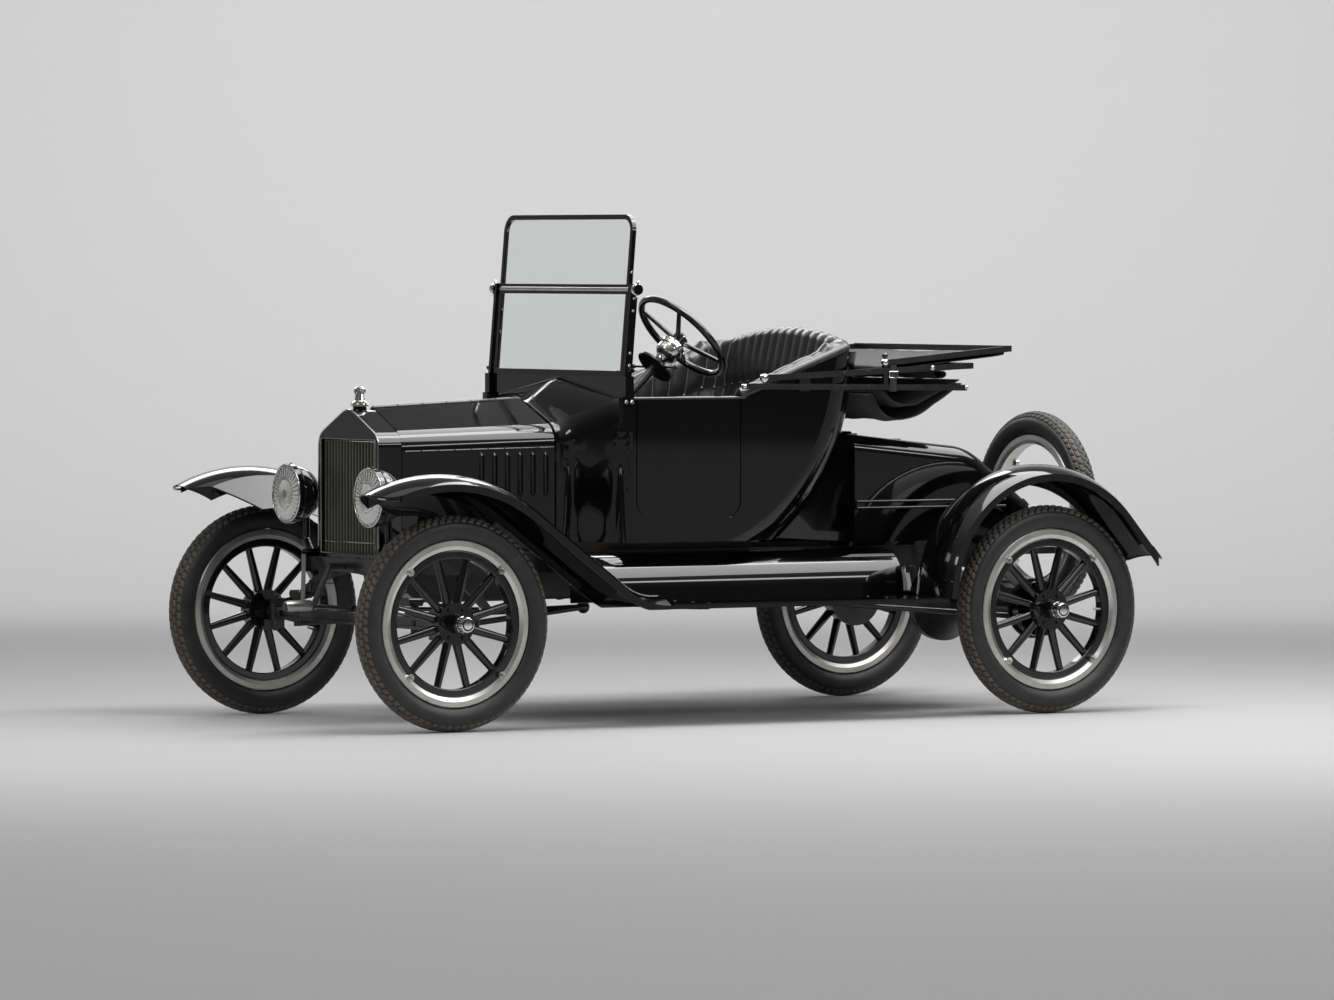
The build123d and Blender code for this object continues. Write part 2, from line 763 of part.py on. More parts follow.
def engine():
    """One plain mass for the engine and gearbox, with its rounded pan below and its ears on the rails."""
    made = block(ENGINE_FRONT, ENGINE_REAR, -ENGINE_HALF_W, ENGINE_HALF_W, ENGINE_BASE, BLOCK_TOP)
    head_top = BLOCK_TOP + HEAD_H
    head = block(ENGINE_FRONT + 10, ENGINE_REAR - 10, -HEAD_HALF_W, HEAD_HALF_W, BLOCK_TOP, head_top)
    w = ENGINE_HALF_W + 8
    lower = ThreePointArc((w, ENGINE_BASE), (0, PAN_BOTTOM), (-w, ENGINE_BASE))
    pan_outline = [Line((-w, ENGINE_BASE), (w, ENGINE_BASE)), lower]
    pan_length = ENGINE_REAR + 36 - ENGINE_FRONT
    pan = extrude(cross_plane(ENGINE_REAR + 20) * make_face(pan_outline), amount=pan_length)
    middle = (GEARBOX_TOP + GEARBOX_BOTTOM) / 2
    drum = Pos(0, middle) * RectangleRounded(2 * GEARBOX_HALF_W, GEARBOX_TOP - GEARBOX_BOTTOM, 26)
    gearbox = extrude(cross_plane(GEARBOX_REAR) * drum, amount=GEARBOX_REAR - ENGINE_REAR + 30)
    s0 = ENGINE_REAR - EAR_LENGTH
    ears = block(s0, ENGINE_REAR, -FRAME_HALF_W, FRAME_HALF_W, FRAME_TOP, FRAME_TOP + ENGINE_EAR_T)
    tail_z = TORQUE_Z + 20
    tail = rod((GEARBOX_REAR - 1, 0, tail_z), (TAIL_REAR, 0, tail_z), TAIL_R, TORQUE_TUBE_R + 14)
    return made + [head, pan, gearbox, ears, tail]


def exhaust():
    """Down pipe from the engine's right side to a muffler hung from the right-hand rail."""
    top = (ENGINE_REAR - 130, -ENGINE_HALF_W - SEAT_GAP, BLOCK_TOP - 60)
    route = [top, (top[0], EXHAUST_Y, top[2]), (top[0] + 40, EXHAUST_Y, MUFFLER_Z)]
    route = route + [(MUFFLER_FRONT + 20, EXHAUST_Y, MUFFLER_Z)]
    path = FilletPolyline(*[point(*p) for p in route], radius=55)
    pipe = sweep(Plane(origin=path @ 0, z_dir=path % 0) * Circle(EXHAUST_R), path=path)
    end = MUFFLER_FRONT + MUFFLER_LENGTH
    muffler = rod((MUFFLER_FRONT, EXHAUST_Y, MUFFLER_Z), (end, EXHAUST_Y, MUFFLER_Z), MUFFLER_R)
    tail = rod((end, EXHAUST_Y, MUFFLER_Z), (end + 150, EXHAUST_Y, MUFFLER_Z), EXHAUST_R)
    made = pipe + muffler + tail
    inner = FRAME_HALF_W - RAIL_FLANGE
    for station in (MUFFLER_FRONT + 70, end - 70):
        strap = block(station, station + 24, -inner - 24, EXHAUST_Y, FRAME_BOTTOM - 12, FRAME_BOTTOM)
        made = made + strap
    return made


# Radiator


def radiator_outline():
    w = RADIATOR_HALF_W
    corners = [(-w, CROSS_TOP), (w, CROSS_TOP), (w, SHOULDER_Z), (0, APEX_Z), (-w, SHOULDER_Z)]
    face = make_face(Polyline(*corners, close=True))
    low = face.vertices().group_by(Axis.Y)[0]
    face = fillet(low, RADIATOR_FOOT_R)
    face = fillet(face.vertices().filter_by(lambda v: abs(v.Y - SHOULDER_Z) < 1), RADIATOR_SHOULDER_R)
    return fillet(face.vertices().filter_by(lambda v: abs(v.Y - APEX_Z) < 1), RADIATOR_APEX_R)


def radiator_shell():
    rear = RADIATOR_FRONT + RADIATOR_DEPTH
    shell = extrude(cross_plane(rear) * radiator_outline(), amount=RADIATOR_DEPTH)
    window_low = CROSS_TOP + CORE_BOTTOM_RAIL
    window = block(RADIATOR_FRONT - 1, rear + 1, -CORE_HALF_W, CORE_HALF_W, window_low, CORE_TOP)
    station = (RADIATOR_FRONT + rear) / 2
    neck = rod((station, 0, CORE_TOP + 20), (station, 0, NECK_TOP), NECK_R)
    return shell - window + neck


def radiator_core():
    """A finned block, grooved up and down its front so that the tubes stand out."""
    s0, s1 = RADIATOR_FRONT + 14, RADIATOR_FRONT + RADIATOR_DEPTH - 8
    w = CORE_HALF_W - SEAT_GAP
    z0, z1 = CROSS_TOP + CORE_BOTTOM_RAIL + SEAT_GAP, CORE_TOP - SEAT_GAP
    core = block(s0, s1, -w, w, z0, z1)
    pitch = 2 * w / FIN_COUNT
    cuts = []
    for k in range(FIN_COUNT):
        y = -w + (k + 0.5) * pitch
        cuts.append(block(s0 - 1, s0 + FIN_DEPTH, y - FIN_SLOT_W / 2, y + FIN_SLOT_W / 2, z0 + 6, z1 - 6))
    return core - cuts


def radiator_cap():
    station = RADIATOR_FRONT + RADIATOR_DEPTH / 2
    r, h = CAP_R, CAP_H
    profile = [(0, 0), (r, 0), (r, h * 0.2), (r * 0.62, h * 0.3), (r * 0.5, h * 0.62)]
    profile = profile + [(r * 0.72, h * 0.74), (r * 0.72, h * 0.92), (r * 0.4, h), (0, h)]
    body = revolve(Plane.XZ * make_face(Polyline(*profile, close=True)), Axis.Z)
    return Pos(x_at(station), 0, NECK_TOP) * body


# Hood, firewall and cowl


def hinge_z(station):
    return HOOD_FRONT_TOP + (station - RADIATOR_FRONT - RADIATOR_DEPTH) * HINGE_SLOPE


def hood_half(half_index):
    """Left half of the hood: sloping top, rounded shoulder and louvred side, on knuckles along a rod."""
    front = RADIATOR_FRONT + RADIATOR_DEPTH + MOVE_GAP
    rear = FIREWALL_STATION - MOVE_GAP
    start = HINGE_ROD_R + KNUCKLE_WALL + 2.5
    sections = []
    ends = ((front, HOOD_FRONT_HALF_W, HOOD_FRONT_SHOULDER), (rear, HOOD_REAR_HALF_W, HOOD_REAR_SHOULDER))
    for station, half_w, shoulder in ends:
        corners = [(start, hinge_z(station)), (half_w, shoulder), (half_w, HOOD_BOTTOM)]
        sections.append(cross_plane(station) * band(corners, HOOD_SHOULDER_R, HOOD_T))
    made = loft(sections, ruled=True)
    lean = (HOOD_REAR_HALF_W - HOOD_FRONT_HALF_W) / (rear - front)
    for k in range(LOUVRE_COUNT):
        station = LOUVRE_LAST_STATION - k * LOUVRE_PITCH
        y = HOOD_FRONT_HALF_W + (station - front) * lean
        z0, z1 = LOUVRE_TOP - LOUVRE_H, LOUVRE_TOP
        made = made + rod((station, y - HOOD_T / 2, z0), (station, y - HOOD_T / 2, z1), LOUVRE_R)
        for z, end in ((z0, z0 - 2 * LOUVRE_R), (z1, z1 + 2 * LOUVRE_R)):
            tip_y = y - HOOD_T / 2 - LOUVRE_R / 2
            made = made + rod((station, y - HOOD_T / 2, z), (station, tip_y, end), LOUVRE_R, LOUVRE_R / 3)
        mouth = station + LOUVRE_R - LOUVRE_SLOT / 2
        made = made - block(mouth, mouth + LOUVRE_SLOT, y - 2 * LOUVRE_R, y + LOUVRE_R, z0, z1)
    pitch = (rear - front) / HINGE_KNUCKLES
    for k in range(half_index, HINGE_KNUCKLES, 2):
        a, b = front + k * pitch + 2, front + (k + 1) * pitch - 2
        ends = (a, 0, hinge_z(a)), (b, 0, hinge_z(b))
        barrel = rod(*ends, HINGE_ROD_R + KNUCKLE_WALL)
        tab_z = [hinge_z(a), hinge_z(b)]
        leaf = [(a, tab_z[0] - 6), (b, tab_z[1] - 6), (b, tab_z[1] - 1), (a, tab_z[0] - 1)]
        made = made + barrel + side_prism(leaf, HINGE_ROD_R + 1, start + 8)
        made = made - rod(*ends, HINGE_ROD_R + RUN_GAP)
    return made


def peaked_outline(half_w, shoulder, top, bottom, shoulder_r, apex_r):
    corners = [(-half_w, bottom), (half_w, bottom), (half_w, shoulder), (0, top), (-half_w, shoulder)]
    face = make_face(Polyline(*corners, close=True))
    face = fillet(face.vertices().filter_by(lambda v: abs(v.Y - shoulder) < 1), shoulder_r)
    return fillet(face.vertices().filter_by(lambda v: abs(v.Y - top) < 1), apex_r)


def eased(start, end, share):
    """A value between two others that leaves the first and reaches the second without a kink."""
    return start + (end - start) * share * share * (3 - 2 * share)


def cowl_solid(inset, bottom):
    """The scuttle's outside, moved in by the inset, flaring from the hood to the body."""
    front = FIREWALL_STATION + FIREWALL_T
    sections = []
    for k in range(COWL_SECTIONS):
        share = k / (COWL_SECTIONS - 1)
        half_w = eased(COWL_HALF_W, BODY_HALF_W, share) - inset
        shoulder = eased(COWL_FRONT_SHOULDER, BELT_Z, share) - inset
        top = eased(COWL_FRONT_TOP, COWL_REAR_TOP, share) - inset
        station = front + (COWL_END - front) * share
        outline = peaked_outline(half_w, shoulder, top, bottom, COWL_SHOULDER_R - inset, COWL_APEX_R - inset)
        sections.append(cross_plane(station) * outline)
    return loft(sections)


def cowl():
    return cowl_solid(0, BODY_BOTTOM) - cowl_solid(COWL_WALL, BODY_BOTTOM - 1)


def firewall():
    """Dash board behind the engine, with the hood's hinge rod let into it."""
    sizes = COWL_HALF_W, COWL_FRONT_SHOULDER, COWL_FRONT_TOP, FRAME_TOP
    outline = peaked_outline(*sizes, COWL_SHOULDER_R, COWL_APEX_R)
    rear = FIREWALL_STATION + FIREWALL_T
    board = extrude(cross_plane(rear) * outline, amount=FIREWALL_T)
    notch = GEARBOX_HALF_W + 20
    board = board - block(FIREWALL_STATION - 1, rear + 1, -notch, notch, FRAME_TOP - 1, GEARBOX_TOP + 20)
    angle_at = (WHEEL_Z - (WHEEL_STATION - rear) * COLUMN_SLOPE)
    reach = 60
    low = (rear - reach, WHEEL_Y, angle_at - reach * COLUMN_SLOPE)
    high = (rear + reach, WHEEL_Y, angle_at + reach * COLUMN_SLOPE)
    board = board - rod(low, high, COLUMN_R + 1)
    front = RADIATOR_FRONT + RADIATOR_DEPTH
    ends = (front, 0, hinge_z(front)), (FIREWALL_STATION + 2, 0, hinge_z(FIREWALL_STATION + 2))
    return board + rod(*ends, HINGE_ROD_R)


# Body tub


def back_arc(inset):
    """The curve of the tub's back, moved in by the inset: an arc that runs up into a straight line."""
    arc = ThreePointArc(*BACK_ARC)
    centre, radius = arc.arc_center, arc.radius
    scale = (radius - inset) / radius
    return [centre + (Vector(*p) - centre) * scale for p in BACK_ARC]


def tub_solid(inset, bottom, rise):
    """The body's outside, moved in by the inset on the sides and back, with its top edge raised."""
    low, middle, high = back_arc(inset)
    arc = ThreePointArc(low, middle, high)
    up = arc % 1
    top_z = BACK_TOP_Z + rise
    top = high + up * ((top_z - high.Y) / up.Y)
    foot = arc % 0
    base = low - foot * ((low.Y - bottom) / foot.Y)
    edges = [arc, Line(high, top)]
    corners = [top, (BACK_TOP_START, top_z), (BELT_END, BELT_Z + rise), (COWL_END, BELT_Z + rise)]
    corners = corners + [(COWL_END, bottom), base]
    if abs(base.Y - low.Y) > 1e-6:
        corners = corners + [low]
    edges = edges + [Line(a, b) for a, b in zip(corners, corners[1:])]
    half_w = BODY_HALF_W - inset
    solid = extrude(side_plane(-half_w) * make_face(edges), amount=2 * half_w)
    back_x = x_at(BACK_SPLIT + 20)
    on_side = [e for e in solid.edges() if abs(abs(e.center().Y) - half_w) < 1]
    return fillet([e for e in on_side if is_back_edge(e, back_x)], BACK_CORNER_R - inset)


def is_back_edge(edge, back_x):
    """True for the edges that run up the tub's back corners."""
    box = edge.bounding_box()
    return box.max.X < back_x + 30 and box.size.Z > 60 and box.max.Z > BODY_BOTTOM + 60


def tub_shell():
    return tub_solid(0, BODY_BOTTOM, 0) - tub_solid(BODY_WALL, BODY_BOTTOM - 60, 200)


def tub_part(shell, s0, s1, y0, y1):
    return shell & block(s0, s1, y0, y1, 0, SHIELD_TOP)


def door_face(gap):
    """The door's outline in (station, z), taken in by the gap on its three closed sides."""
    corners = [
        (DOOR_FRONT + gap, BELT_Z),
        (DOOR_FRONT + gap, DOOR_SILL + gap),
        (DOOR_REAR - gap, DOOR_SILL + gap),
        (DOOR_REAR - gap, BELT_Z),
    ]
    face = make_face(Polyline(*corners, close=True))
    return fillet(face.vertices().group_by(Axis.Y)[0], DOOR_CORNER_R - gap)


def door_prism(gap):
    return extrude(side_plane(-BODY_HALF_W - 1) * door_face(gap), amount=BODY_WALL + 2)


def body_left(shell):
    """Left side, with the outline of a door pressed into it but no door."""
    panel = tub_part(shell, COWL_END, BACK_SPLIT, 0, BODY_HALF_W + 1)
    ring = door_face(0) - door_face(GROOVE_W)
    groove = extrude(side_plane(BODY_HALF_W - GROOVE_D) * ring, amount=GROOVE_D + 1)
    return panel - groove


def hinge_barrel(z0, z1, radius):
    return rod((DOOR_HINGE_STATION, DOOR_HINGE_Y, z0), (DOOR_HINGE_STATION, DOOR_HINGE_Y, z1), radius)


def body_right(shell):
    """Right side, open for its door, with the fixed halves of the hinges and their pins."""
    panel = tub_part(shell, COWL_END, BACK_SPLIT, -BODY_HALF_W - 1, 0) - door_prism(0)
    for z in DOOR_HINGE_ZS:
        low = hinge_barrel(z - DOOR_HINGE_H / 2, z - RUN_GAP, DOOR_HINGE_R)
        pin = hinge_barrel(z - DOOR_HINGE_H / 2, z + DOOR_HINGE_H / 2, DOOR_HINGE_R / 2)
        wide = DOOR_HINGE_Y, -BODY_HALF_W + 2
        leaf = block(COWL_END + 2, DOOR_FRONT - 0.5, *wide, z - DOOR_HINGE_H / 2, z - RUN_GAP)
        panel = panel + low + leaf + pin
    return panel


def door():
    """Right-hand door, hinged at its front edge."""
    made = extrude(side_plane(-BODY_HALF_W) * door_face(MOVE_GAP), amount=BODY_WALL)
    for z in DOOR_HINGE_ZS:
        high = z + DOOR_HINGE_H / 2
        barrel = hinge_barrel(z, high, DOOR_HINGE_R)
        leaf = block(DOOR_HINGE_STATION, DOOR_FRONT + 40, DOOR_HINGE_Y - 2, -BODY_HALF_W + 2, z, high)
        made = made + barrel + leaf - hinge_barrel(z - 1, high + 1, DOOR_HINGE_R / 2 + RUN_GAP)
    return made


def floor():
    """Floor and toe boards on two sills, with the heel board and seat deck."""
    half_w = BODY_HALF_W - BODY_WALL - SEAT_GAP
    front = FIREWALL_STATION + FIREWALL_T
    flat = block(TOE_FOOT, SEAT_FRONT, -half_w, half_w, BODY_BOTTOM, FLOOR_TOP)
    heel = block(SEAT_FRONT - SEAT_BOARD_T, SEAT_FRONT, -half_w, half_w, BODY_BOTTOM, SEAT_DECK_Z)
    deck_from, deck_to = SEAT_FRONT - SEAT_BOARD_T, BACK_ARC[2][0]
    seat_deck = block(deck_from, deck_to, -half_w, half_w, SEAT_DECK_Z - SEAT_BOARD_T, SEAT_DECK_Z)
    boards = (flat + heel + seat_deck) & tub_solid(BODY_WALL + SEAT_GAP, BODY_BOTTOM - 60, 200)
    top_z = TOE_TOP_Z
    toe_half = COWL_HALF_W - COWL_WALL - SEAT_GAP
    toe_points = [
        (TOE_FOOT, FLOOR_TOP),
        (TOE_FOOT, BODY_BOTTOM),
        (front, top_z - FLOOR_T * 1.3),
        (front, top_z),
    ]
    made = boards + side_prism(toe_points, -toe_half, toe_half)
    sill_in = FRAME_HALF_W - SILL_W
    for sign in (-1, 1):
        ys = sorted((sign * sill_in, sign * FRAME_HALF_W))
        made = made + block(front, BACK_SPLIT, *ys, FRAME_TOP, BODY_BOTTOM)
        made = made + block(TOE_FOOT, BACK_SPLIT, *ys, BODY_BOTTOM - 1, BODY_BOTTOM + 4)
    for y in PEDAL_YS:
        s0, s1 = PEDAL_STATION - 60, PEDAL_STATION + 60
        made = made - block(s0, s1, y - 14, y + 14, BODY_BOTTOM, TOE_TOP_Z + 20)
    return made


def seat_cushion():
    side = BODY_HALF_W - BODY_WALL - CUSHION_SIDE
    rear = back_station(SEAT_DECK_Z) - BODY_WALL - PAD_T - 14
    made = block(SEAT_FRONT - 10, rear, -side, side, SEAT_DECK_Z, SEAT_DECK_Z + CUSHION_T)
    rear_corners = made.edges().filter_by(Axis.Z).group_by(Axis.X)[0]
    made = fillet(rear_corners, BACK_CORNER_R - BODY_WALL - PAD_T + 40)
    return fillet(made.edges().group_by(Axis.Z)[-1], 30)


def back_station(z):
    """Where the outside of the tub's back is at a height on its arc."""
    arc = ThreePointArc(*BACK_ARC)
    centre, radius = arc.arc_center, arc.radius
    return centre.X + math.sqrt(radius**2 - (z - centre.Y) ** 2)


def seat_back():
    """Stuffed back and arms: a lining inside the tub that crowns above its back edge."""
    inset = BODY_WALL + SEAT_GAP
    low = BODY_BOTTOM - 60
    rise = PAD_CROWN_Z - BACK_TOP_Z
    lining = tub_solid(inset, low, rise) - tub_solid(inset + PAD_T - 24, low - 60, 300)
    front = BELT_END + 6
    profile = [
        (front, SEAT_DECK_Z),
        (front, BELT_Z + ARM_PAD_RISE),
        ARM_PAD_END,
        (PAD_CROWN_STATION, PAD_CROWN_Z),
        (SPARE_STATION, PAD_CROWN_Z),
        (SPARE_STATION, SEAT_DECK_Z),
    ]
    lining = lining & side_prism(profile, -BODY_HALF_W, BODY_HALF_W)
    crown = ThreePointArc((BODY_HALF_W, PAD_SIDE_Z), (0, PAD_CROWN_Z), (-BODY_HALF_W, PAD_SIDE_Z))
    base = [(-BODY_HALF_W, PAD_SIDE_Z), (-BODY_HALF_W, low), (BODY_HALF_W, low), (BODY_HALF_W, PAD_SIDE_Z)]
    arch = make_face([crown] + [Line(a, b) for a, b in zip(base, base[1:])])
    return lining & extrude(cross_plane(SPARE_STATION) * arch, amount=SPARE_STATION)


# Turtle deck


def deck_solid(inset, drop):
    """The deck's outside, moved in by the inset, with its base dropped."""
    knee = (DECK_KNEE[0] - inset * 0.5, DECK_KNEE[1] - inset)
    rear = (DECK_REAR[0] - inset, DECK_REAR[1])
    base = DECK_BOTTOM - drop
    front = DECK_FRONT + inset
    outline = [
        (front, base),
        (front, DECK_FRONT_Z - inset),
        knee,
        rear,
        (rear[0], base),
    ]
    face = make_face(Polyline(*outline, close=True))
    face = fillet(face.vertices().filter_by(lambda v: abs(v.X - knee[0]) < 1), DECK_KNEE_R - inset)
    face = fillet(face.vertices().filter_by(lambda v: abs(v.X - rear[0]) < 1 and v.Y > base + 1), 90 - inset)
    half_w = DECK_HALF_W - inset
    solid = extrude(side_plane(-half_w) * face, amount=2 * half_w)
    on_side = [e for e in solid.edges() if abs(abs(e.center().Y) - half_w) < 1]
    return fillet([e for e in on_side if is_deck_edge(e, x_at(front), base)], DECK_EDGE_R - inset)


def is_deck_edge(edge, front_x, base):
    """True for the long edges where the deck's sides meet its top and back."""
    box = edge.bounding_box()
    along_base = box.max.Z < base + 1
    up_front = box.size.X < 1 and box.max.X > front_x - 1
    return box.size.X + box.size.Z > 5 and not along_base and not up_front


def lid_region(gap):
    reach = LID_HALF_W - gap
    return block(LID_FRONT + gap, LID_REAR - gap, -reach, reach, DECK_BEAD_Z + 60, DECK_FRONT_Z + 60)


def deck_top_z(station):
    """Height of the deck's outside along its straight top."""
    slope = (DECK_KNEE[1] - DECK_FRONT_Z) / (DECK_KNEE[0] - DECK_FRONT)
    return DECK_FRONT_Z + (station - DECK_FRONT) * slope


def lid_axis(y):
    return (LID_FRONT, y, deck_top_z(LID_FRONT) + LID_HINGE_R + 1)


def deck():
    shell = deck_solid(0, 0) - deck_solid(DECK_WALL, -DECK_WALL)
    made = shell - lid_region(0)
    ring = deck_solid(-DECK_BEAD_T, 0) - deck_solid(2, 10)
    low, high = DECK_BEAD_Z - DECK_BEAD_H / 2, DECK_BEAD_Z + DECK_BEAD_H / 2
    reach = DECK_HALF_W + 50
    bead = ring & block(DECK_FRONT + 4, DECK_REAR[0] + 50, -reach, reach, low, high)
    made = made + bead
    sill_in = FRAME_HALF_W - SILL_W
    for sign in (-1, 1):
        ys = sorted((sign * sill_in, sign * FRAME_HALF_W))
        made = made + block(DECK_FRONT, WHEELBASE + RAIL_REAR_OVERHANG, *ys, FRAME_TOP, DECK_BOTTOM + 1)
        y0 = sign * (LID_HALF_W - LID_HINGE_IN)
        y_end = y0 - LID_HINGE_HALF
        barrel = rod(lid_axis(y_end), lid_axis(y0 - RUN_GAP), LID_HINGE_R)
        pin = rod(lid_axis(y_end), lid_axis(y0 + LID_HINGE_HALF), LID_HINGE_R / 2)
        made = made + barrel + pin + lid_foot(-2 * LID_HINGE_R, y_end, y0 - RUN_GAP)
    return made


def lid_foot(reach, y0, y1):
    """A hinge leaf's foot between the lid's hinge line and the deck skin, to the front or the back of it."""
    z = lid_axis(0)[2]
    s0, s1 = sorted((LID_FRONT, LID_FRONT + reach))
    return block(s0, s1, y0, y1, z - 2.5 * LID_HINGE_R, z)


def deck_lid():
    shell = deck_solid(0, 0) - deck_solid(DECK_WALL, -DECK_WALL)
    made = shell & lid_region(MOVE_GAP)
    for sign in (-1, 1):
        y0 = sign * (LID_HALF_W - LID_HINGE_IN)
        y1 = y0 + LID_HINGE_HALF
        barrel = rod(lid_axis(y0), lid_axis(y1), LID_HINGE_R)
        made = made + barrel + lid_foot(4 * LID_HINGE_R, y0, y1)
        made = made - rod(lid_axis(y0 - 1), lid_axis(y1 + 1), LID_HINGE_R / 2 + RUN_GAP)
    station = LID_REAR - 60
    z = deck_top_z(station)
    top = z + HANDLE_H
    for sign in (-1, 1):
        y = sign * (HANDLE_HALF - 2 * HANDLE_R)
        made = made + rod((station, y, z - HANDLE_R), (station, y, top), HANDLE_POST_R)
    return made + rod((station, -HANDLE_HALF, top), (station, HANDLE_HALF, top), HANDLE_R)


# Fenders, boards and aprons


def fender_section():
    """Crowned across, with a turned-down lip outside and a skirt inside, in (y, height) about its path."""
    inner, outer = FENDER_IN, FENDER_OUT
    middle = (inner + outer) / 2
    t = FENDER_T
    top = ThreePointArc((inner, 0), (middle, FENDER_CROWN), (outer, 0))
    under = ThreePointArc((outer - t, 0), (middle, FENDER_CROWN - t), (inner + t, 0))
    lip = [(outer, 0), (outer, -FENDER_LIP), (outer - t, -FENDER_LIP), (outer - t, 0)]
    skirt = [(inner + t, 0), (inner + t, -FENDER_SKIRT), (inner, -FENDER_SKIRT), (inner, 0)]
    edges = [top] + [Line(a, b) for a, b in zip(lip, lip[1:])]
    edges = edges + [under] + [Line(a, b) for a, b in zip(skirt, skirt[1:])]
    return make_face(edges)


def fender(path):
    """The fender's section carried along a path in the side view, for the left side."""
    start, along = path @ 0, path % 0
    frame = Plane(origin=start, x_dir=(0, 1, 0), z_dir=-along)
    return sweep(frame * fender_section(), path=path)


def side_path(edges):
    return side_plane(0) * Wire(edges)


def inner_apron(path):
    """The sheet that slopes down and in from a front fender's inner edge."""
    run, drop = FENDER_APRON
    across, under = FENDER_T * drop / math.hypot(run, drop), FENDER_T * run / math.hypot(run, drop)
    low_y = FENDER_IN - run
    corners = [(FENDER_IN, 0), (FENDER_IN + across, -under), (low_y + across, -drop - under), (low_y, -drop)]
    section = make_face(Polyline(*corners, close=True))
    frame = Plane(origin=path @ 0, x_dir=(0, 1, 0), z_dir=-(path % 0))
    return sweep(frame * section, path=path)


def plan_prism(points, rounded):
    """An upright prism over (station, y) points, with some corners, listed as (index, radius), filleted."""
    face = make_face(Polyline(*points, close=True))
    for k, radius in rounded:
        s, y = points[k]
        at_corner = face.vertices().filter_by(lambda v: abs(v.X - s) < 1 and abs(v.Y - y) < 1)
        face = fillet(at_corner, radius)
    ground = Plane(origin=(FRONT_AXLE_X, 0, 0), x_dir=(-1, 0, 0), z_dir=(0, 0, -1))
    return extrude(ground * face, amount=-SHIELD_TOP)


def fenders_front():
    arc = ThreePointArc(*FRONT_FENDER)
    down = arc % 1
    corner = arc @ 1 + down * ((BOARD_Z - (arc @ 1).Y) / down.Y)
    toe = Vector(BOARD_FRONT - SEAT_GAP, BOARD_Z)
    leg = min((toe - corner).length, (corner - arc @ 1).length) * FRONT_FENDER_SWEEP
    turn = math.atan2(-down.Y, down.X)
    tail = FilletPolyline(arc @ 1, corner, toe, radius=leg / math.tan(turn / 2))
    made = fender(side_path([arc, *tail.edges()])) + inner_apron(side_path([arc]))
    outer = FENDER_OUT + 1
    inner = FENDER_IN - FENDER_APRON[0] - 1
    tip_in, slant_end = FRONT_TIP_IN
    plan = [
        (FRONT_TIP, tip_in),
        (FRONT_TIP, outer),
        (BOARD_FRONT, outer),
        (BOARD_FRONT, inner),
        (slant_end, inner),
    ]
    rounded = [(0, FRONT_TIP_R / 2), (1, FRONT_TIP_R)]
    made = made & plan_prism(plan, rounded)
    below_board = block(FRONT_FENDER[2][0], BOARD_FRONT + 1, inner, outer, 0, BOARD_Z - BOARD_T)
    return both_sides(made - below_board)


def fenders_rear():
    arc = ThreePointArc(*REAR_FENDER_ARC)
    up = arc % 0
    rise = REAR_FENDER_ARC[0][1] - REAR_FENDER_FOOT_Z
    first = arc @ 0 - up * (rise / up.Y)
    out = arc % 1
    last = arc @ 1 + out * ((REAR_FENDER_END_Z - REAR_FENDER_ARC[2][1]) / out.Y)
    made = fender(side_path([Line(first, arc @ 0), arc, Line(arc @ 1, last)]))
    front, inner, outer = first.X - REAR_TIP_R, FENDER_IN - 1, FENDER_OUT + 1
    plan = [(front, inner), (front, outer), (last.X + REAR_TIP_OUT, outer), (last.X + REAR_TIP_OUT, inner)]
    return both_sides(made & plan_prism(plan, [(2, REAR_TIP_R)]))


def running_boards():
    """Ribbed boards, each on two brackets that reach out from under the frame."""
    made = block(BOARD_FRONT, BOARD_REAR, BOARD_IN, FENDER_OUT, BOARD_Z - BOARD_T, BOARD_Z)
    pitch = (FENDER_OUT - BOARD_IN - 40) / BOARD_RIBS
    for k in range(BOARD_RIBS):
        y = BOARD_IN + 30 + (k + 0.5) * pitch
        top = BOARD_Z + BOARD_RIB_H
        made = made + block(BOARD_FRONT + 20, BOARD_REAR - 20, y - pitch / 4, y + pitch / 4, BOARD_Z - 1, top)
    inner = FRAME_HALF_W - RAIL_FLANGE
    under = BOARD_Z - BOARD_T
    shape = [
        (inner, FRAME_BOTTOM),
        (FRAME_HALF_W, FRAME_BOTTOM),
        (BOARD_IN - 30, under + 1),
        (FENDER_OUT - 60, under + 1),
        (FENDER_OUT - 60, under - 6),
        (BOARD_IN - 30, under - BRACKET_T),
        (FRAME_HALF_W - 10, FRAME_BOTTOM - BRACKET_T),
        (inner, FRAME_BOTTOM - BRACKET_T),
    ]
    for station in (BOARD_FRONT + 180, BOARD_REAR - 180):
        made = made + cross_prism(shape, station - BRACKET_W / 2, station + BRACKET_W / 2)
    return both_sides(made)


def splash_aprons():
    """Rolled valances that close the gap from the frame to each running board."""
    t = APRON_T
    corners = [
        (FRAME_HALF_W + SEAT_GAP, FRAME_TOP - t),
        (BOARD_IN - 12, FRAME_TOP - 3 * t),
        (BOARD_IN + 6, BOARD_Z + 1.5),
    ]
    section = band(corners, APRON_ROLL_R, t)
    made = extrude(cross_plane(BOARD_REAR) * section, amount=BOARD_REAR - APRON_FRONT)
    return both_sides(made)


# Lamps


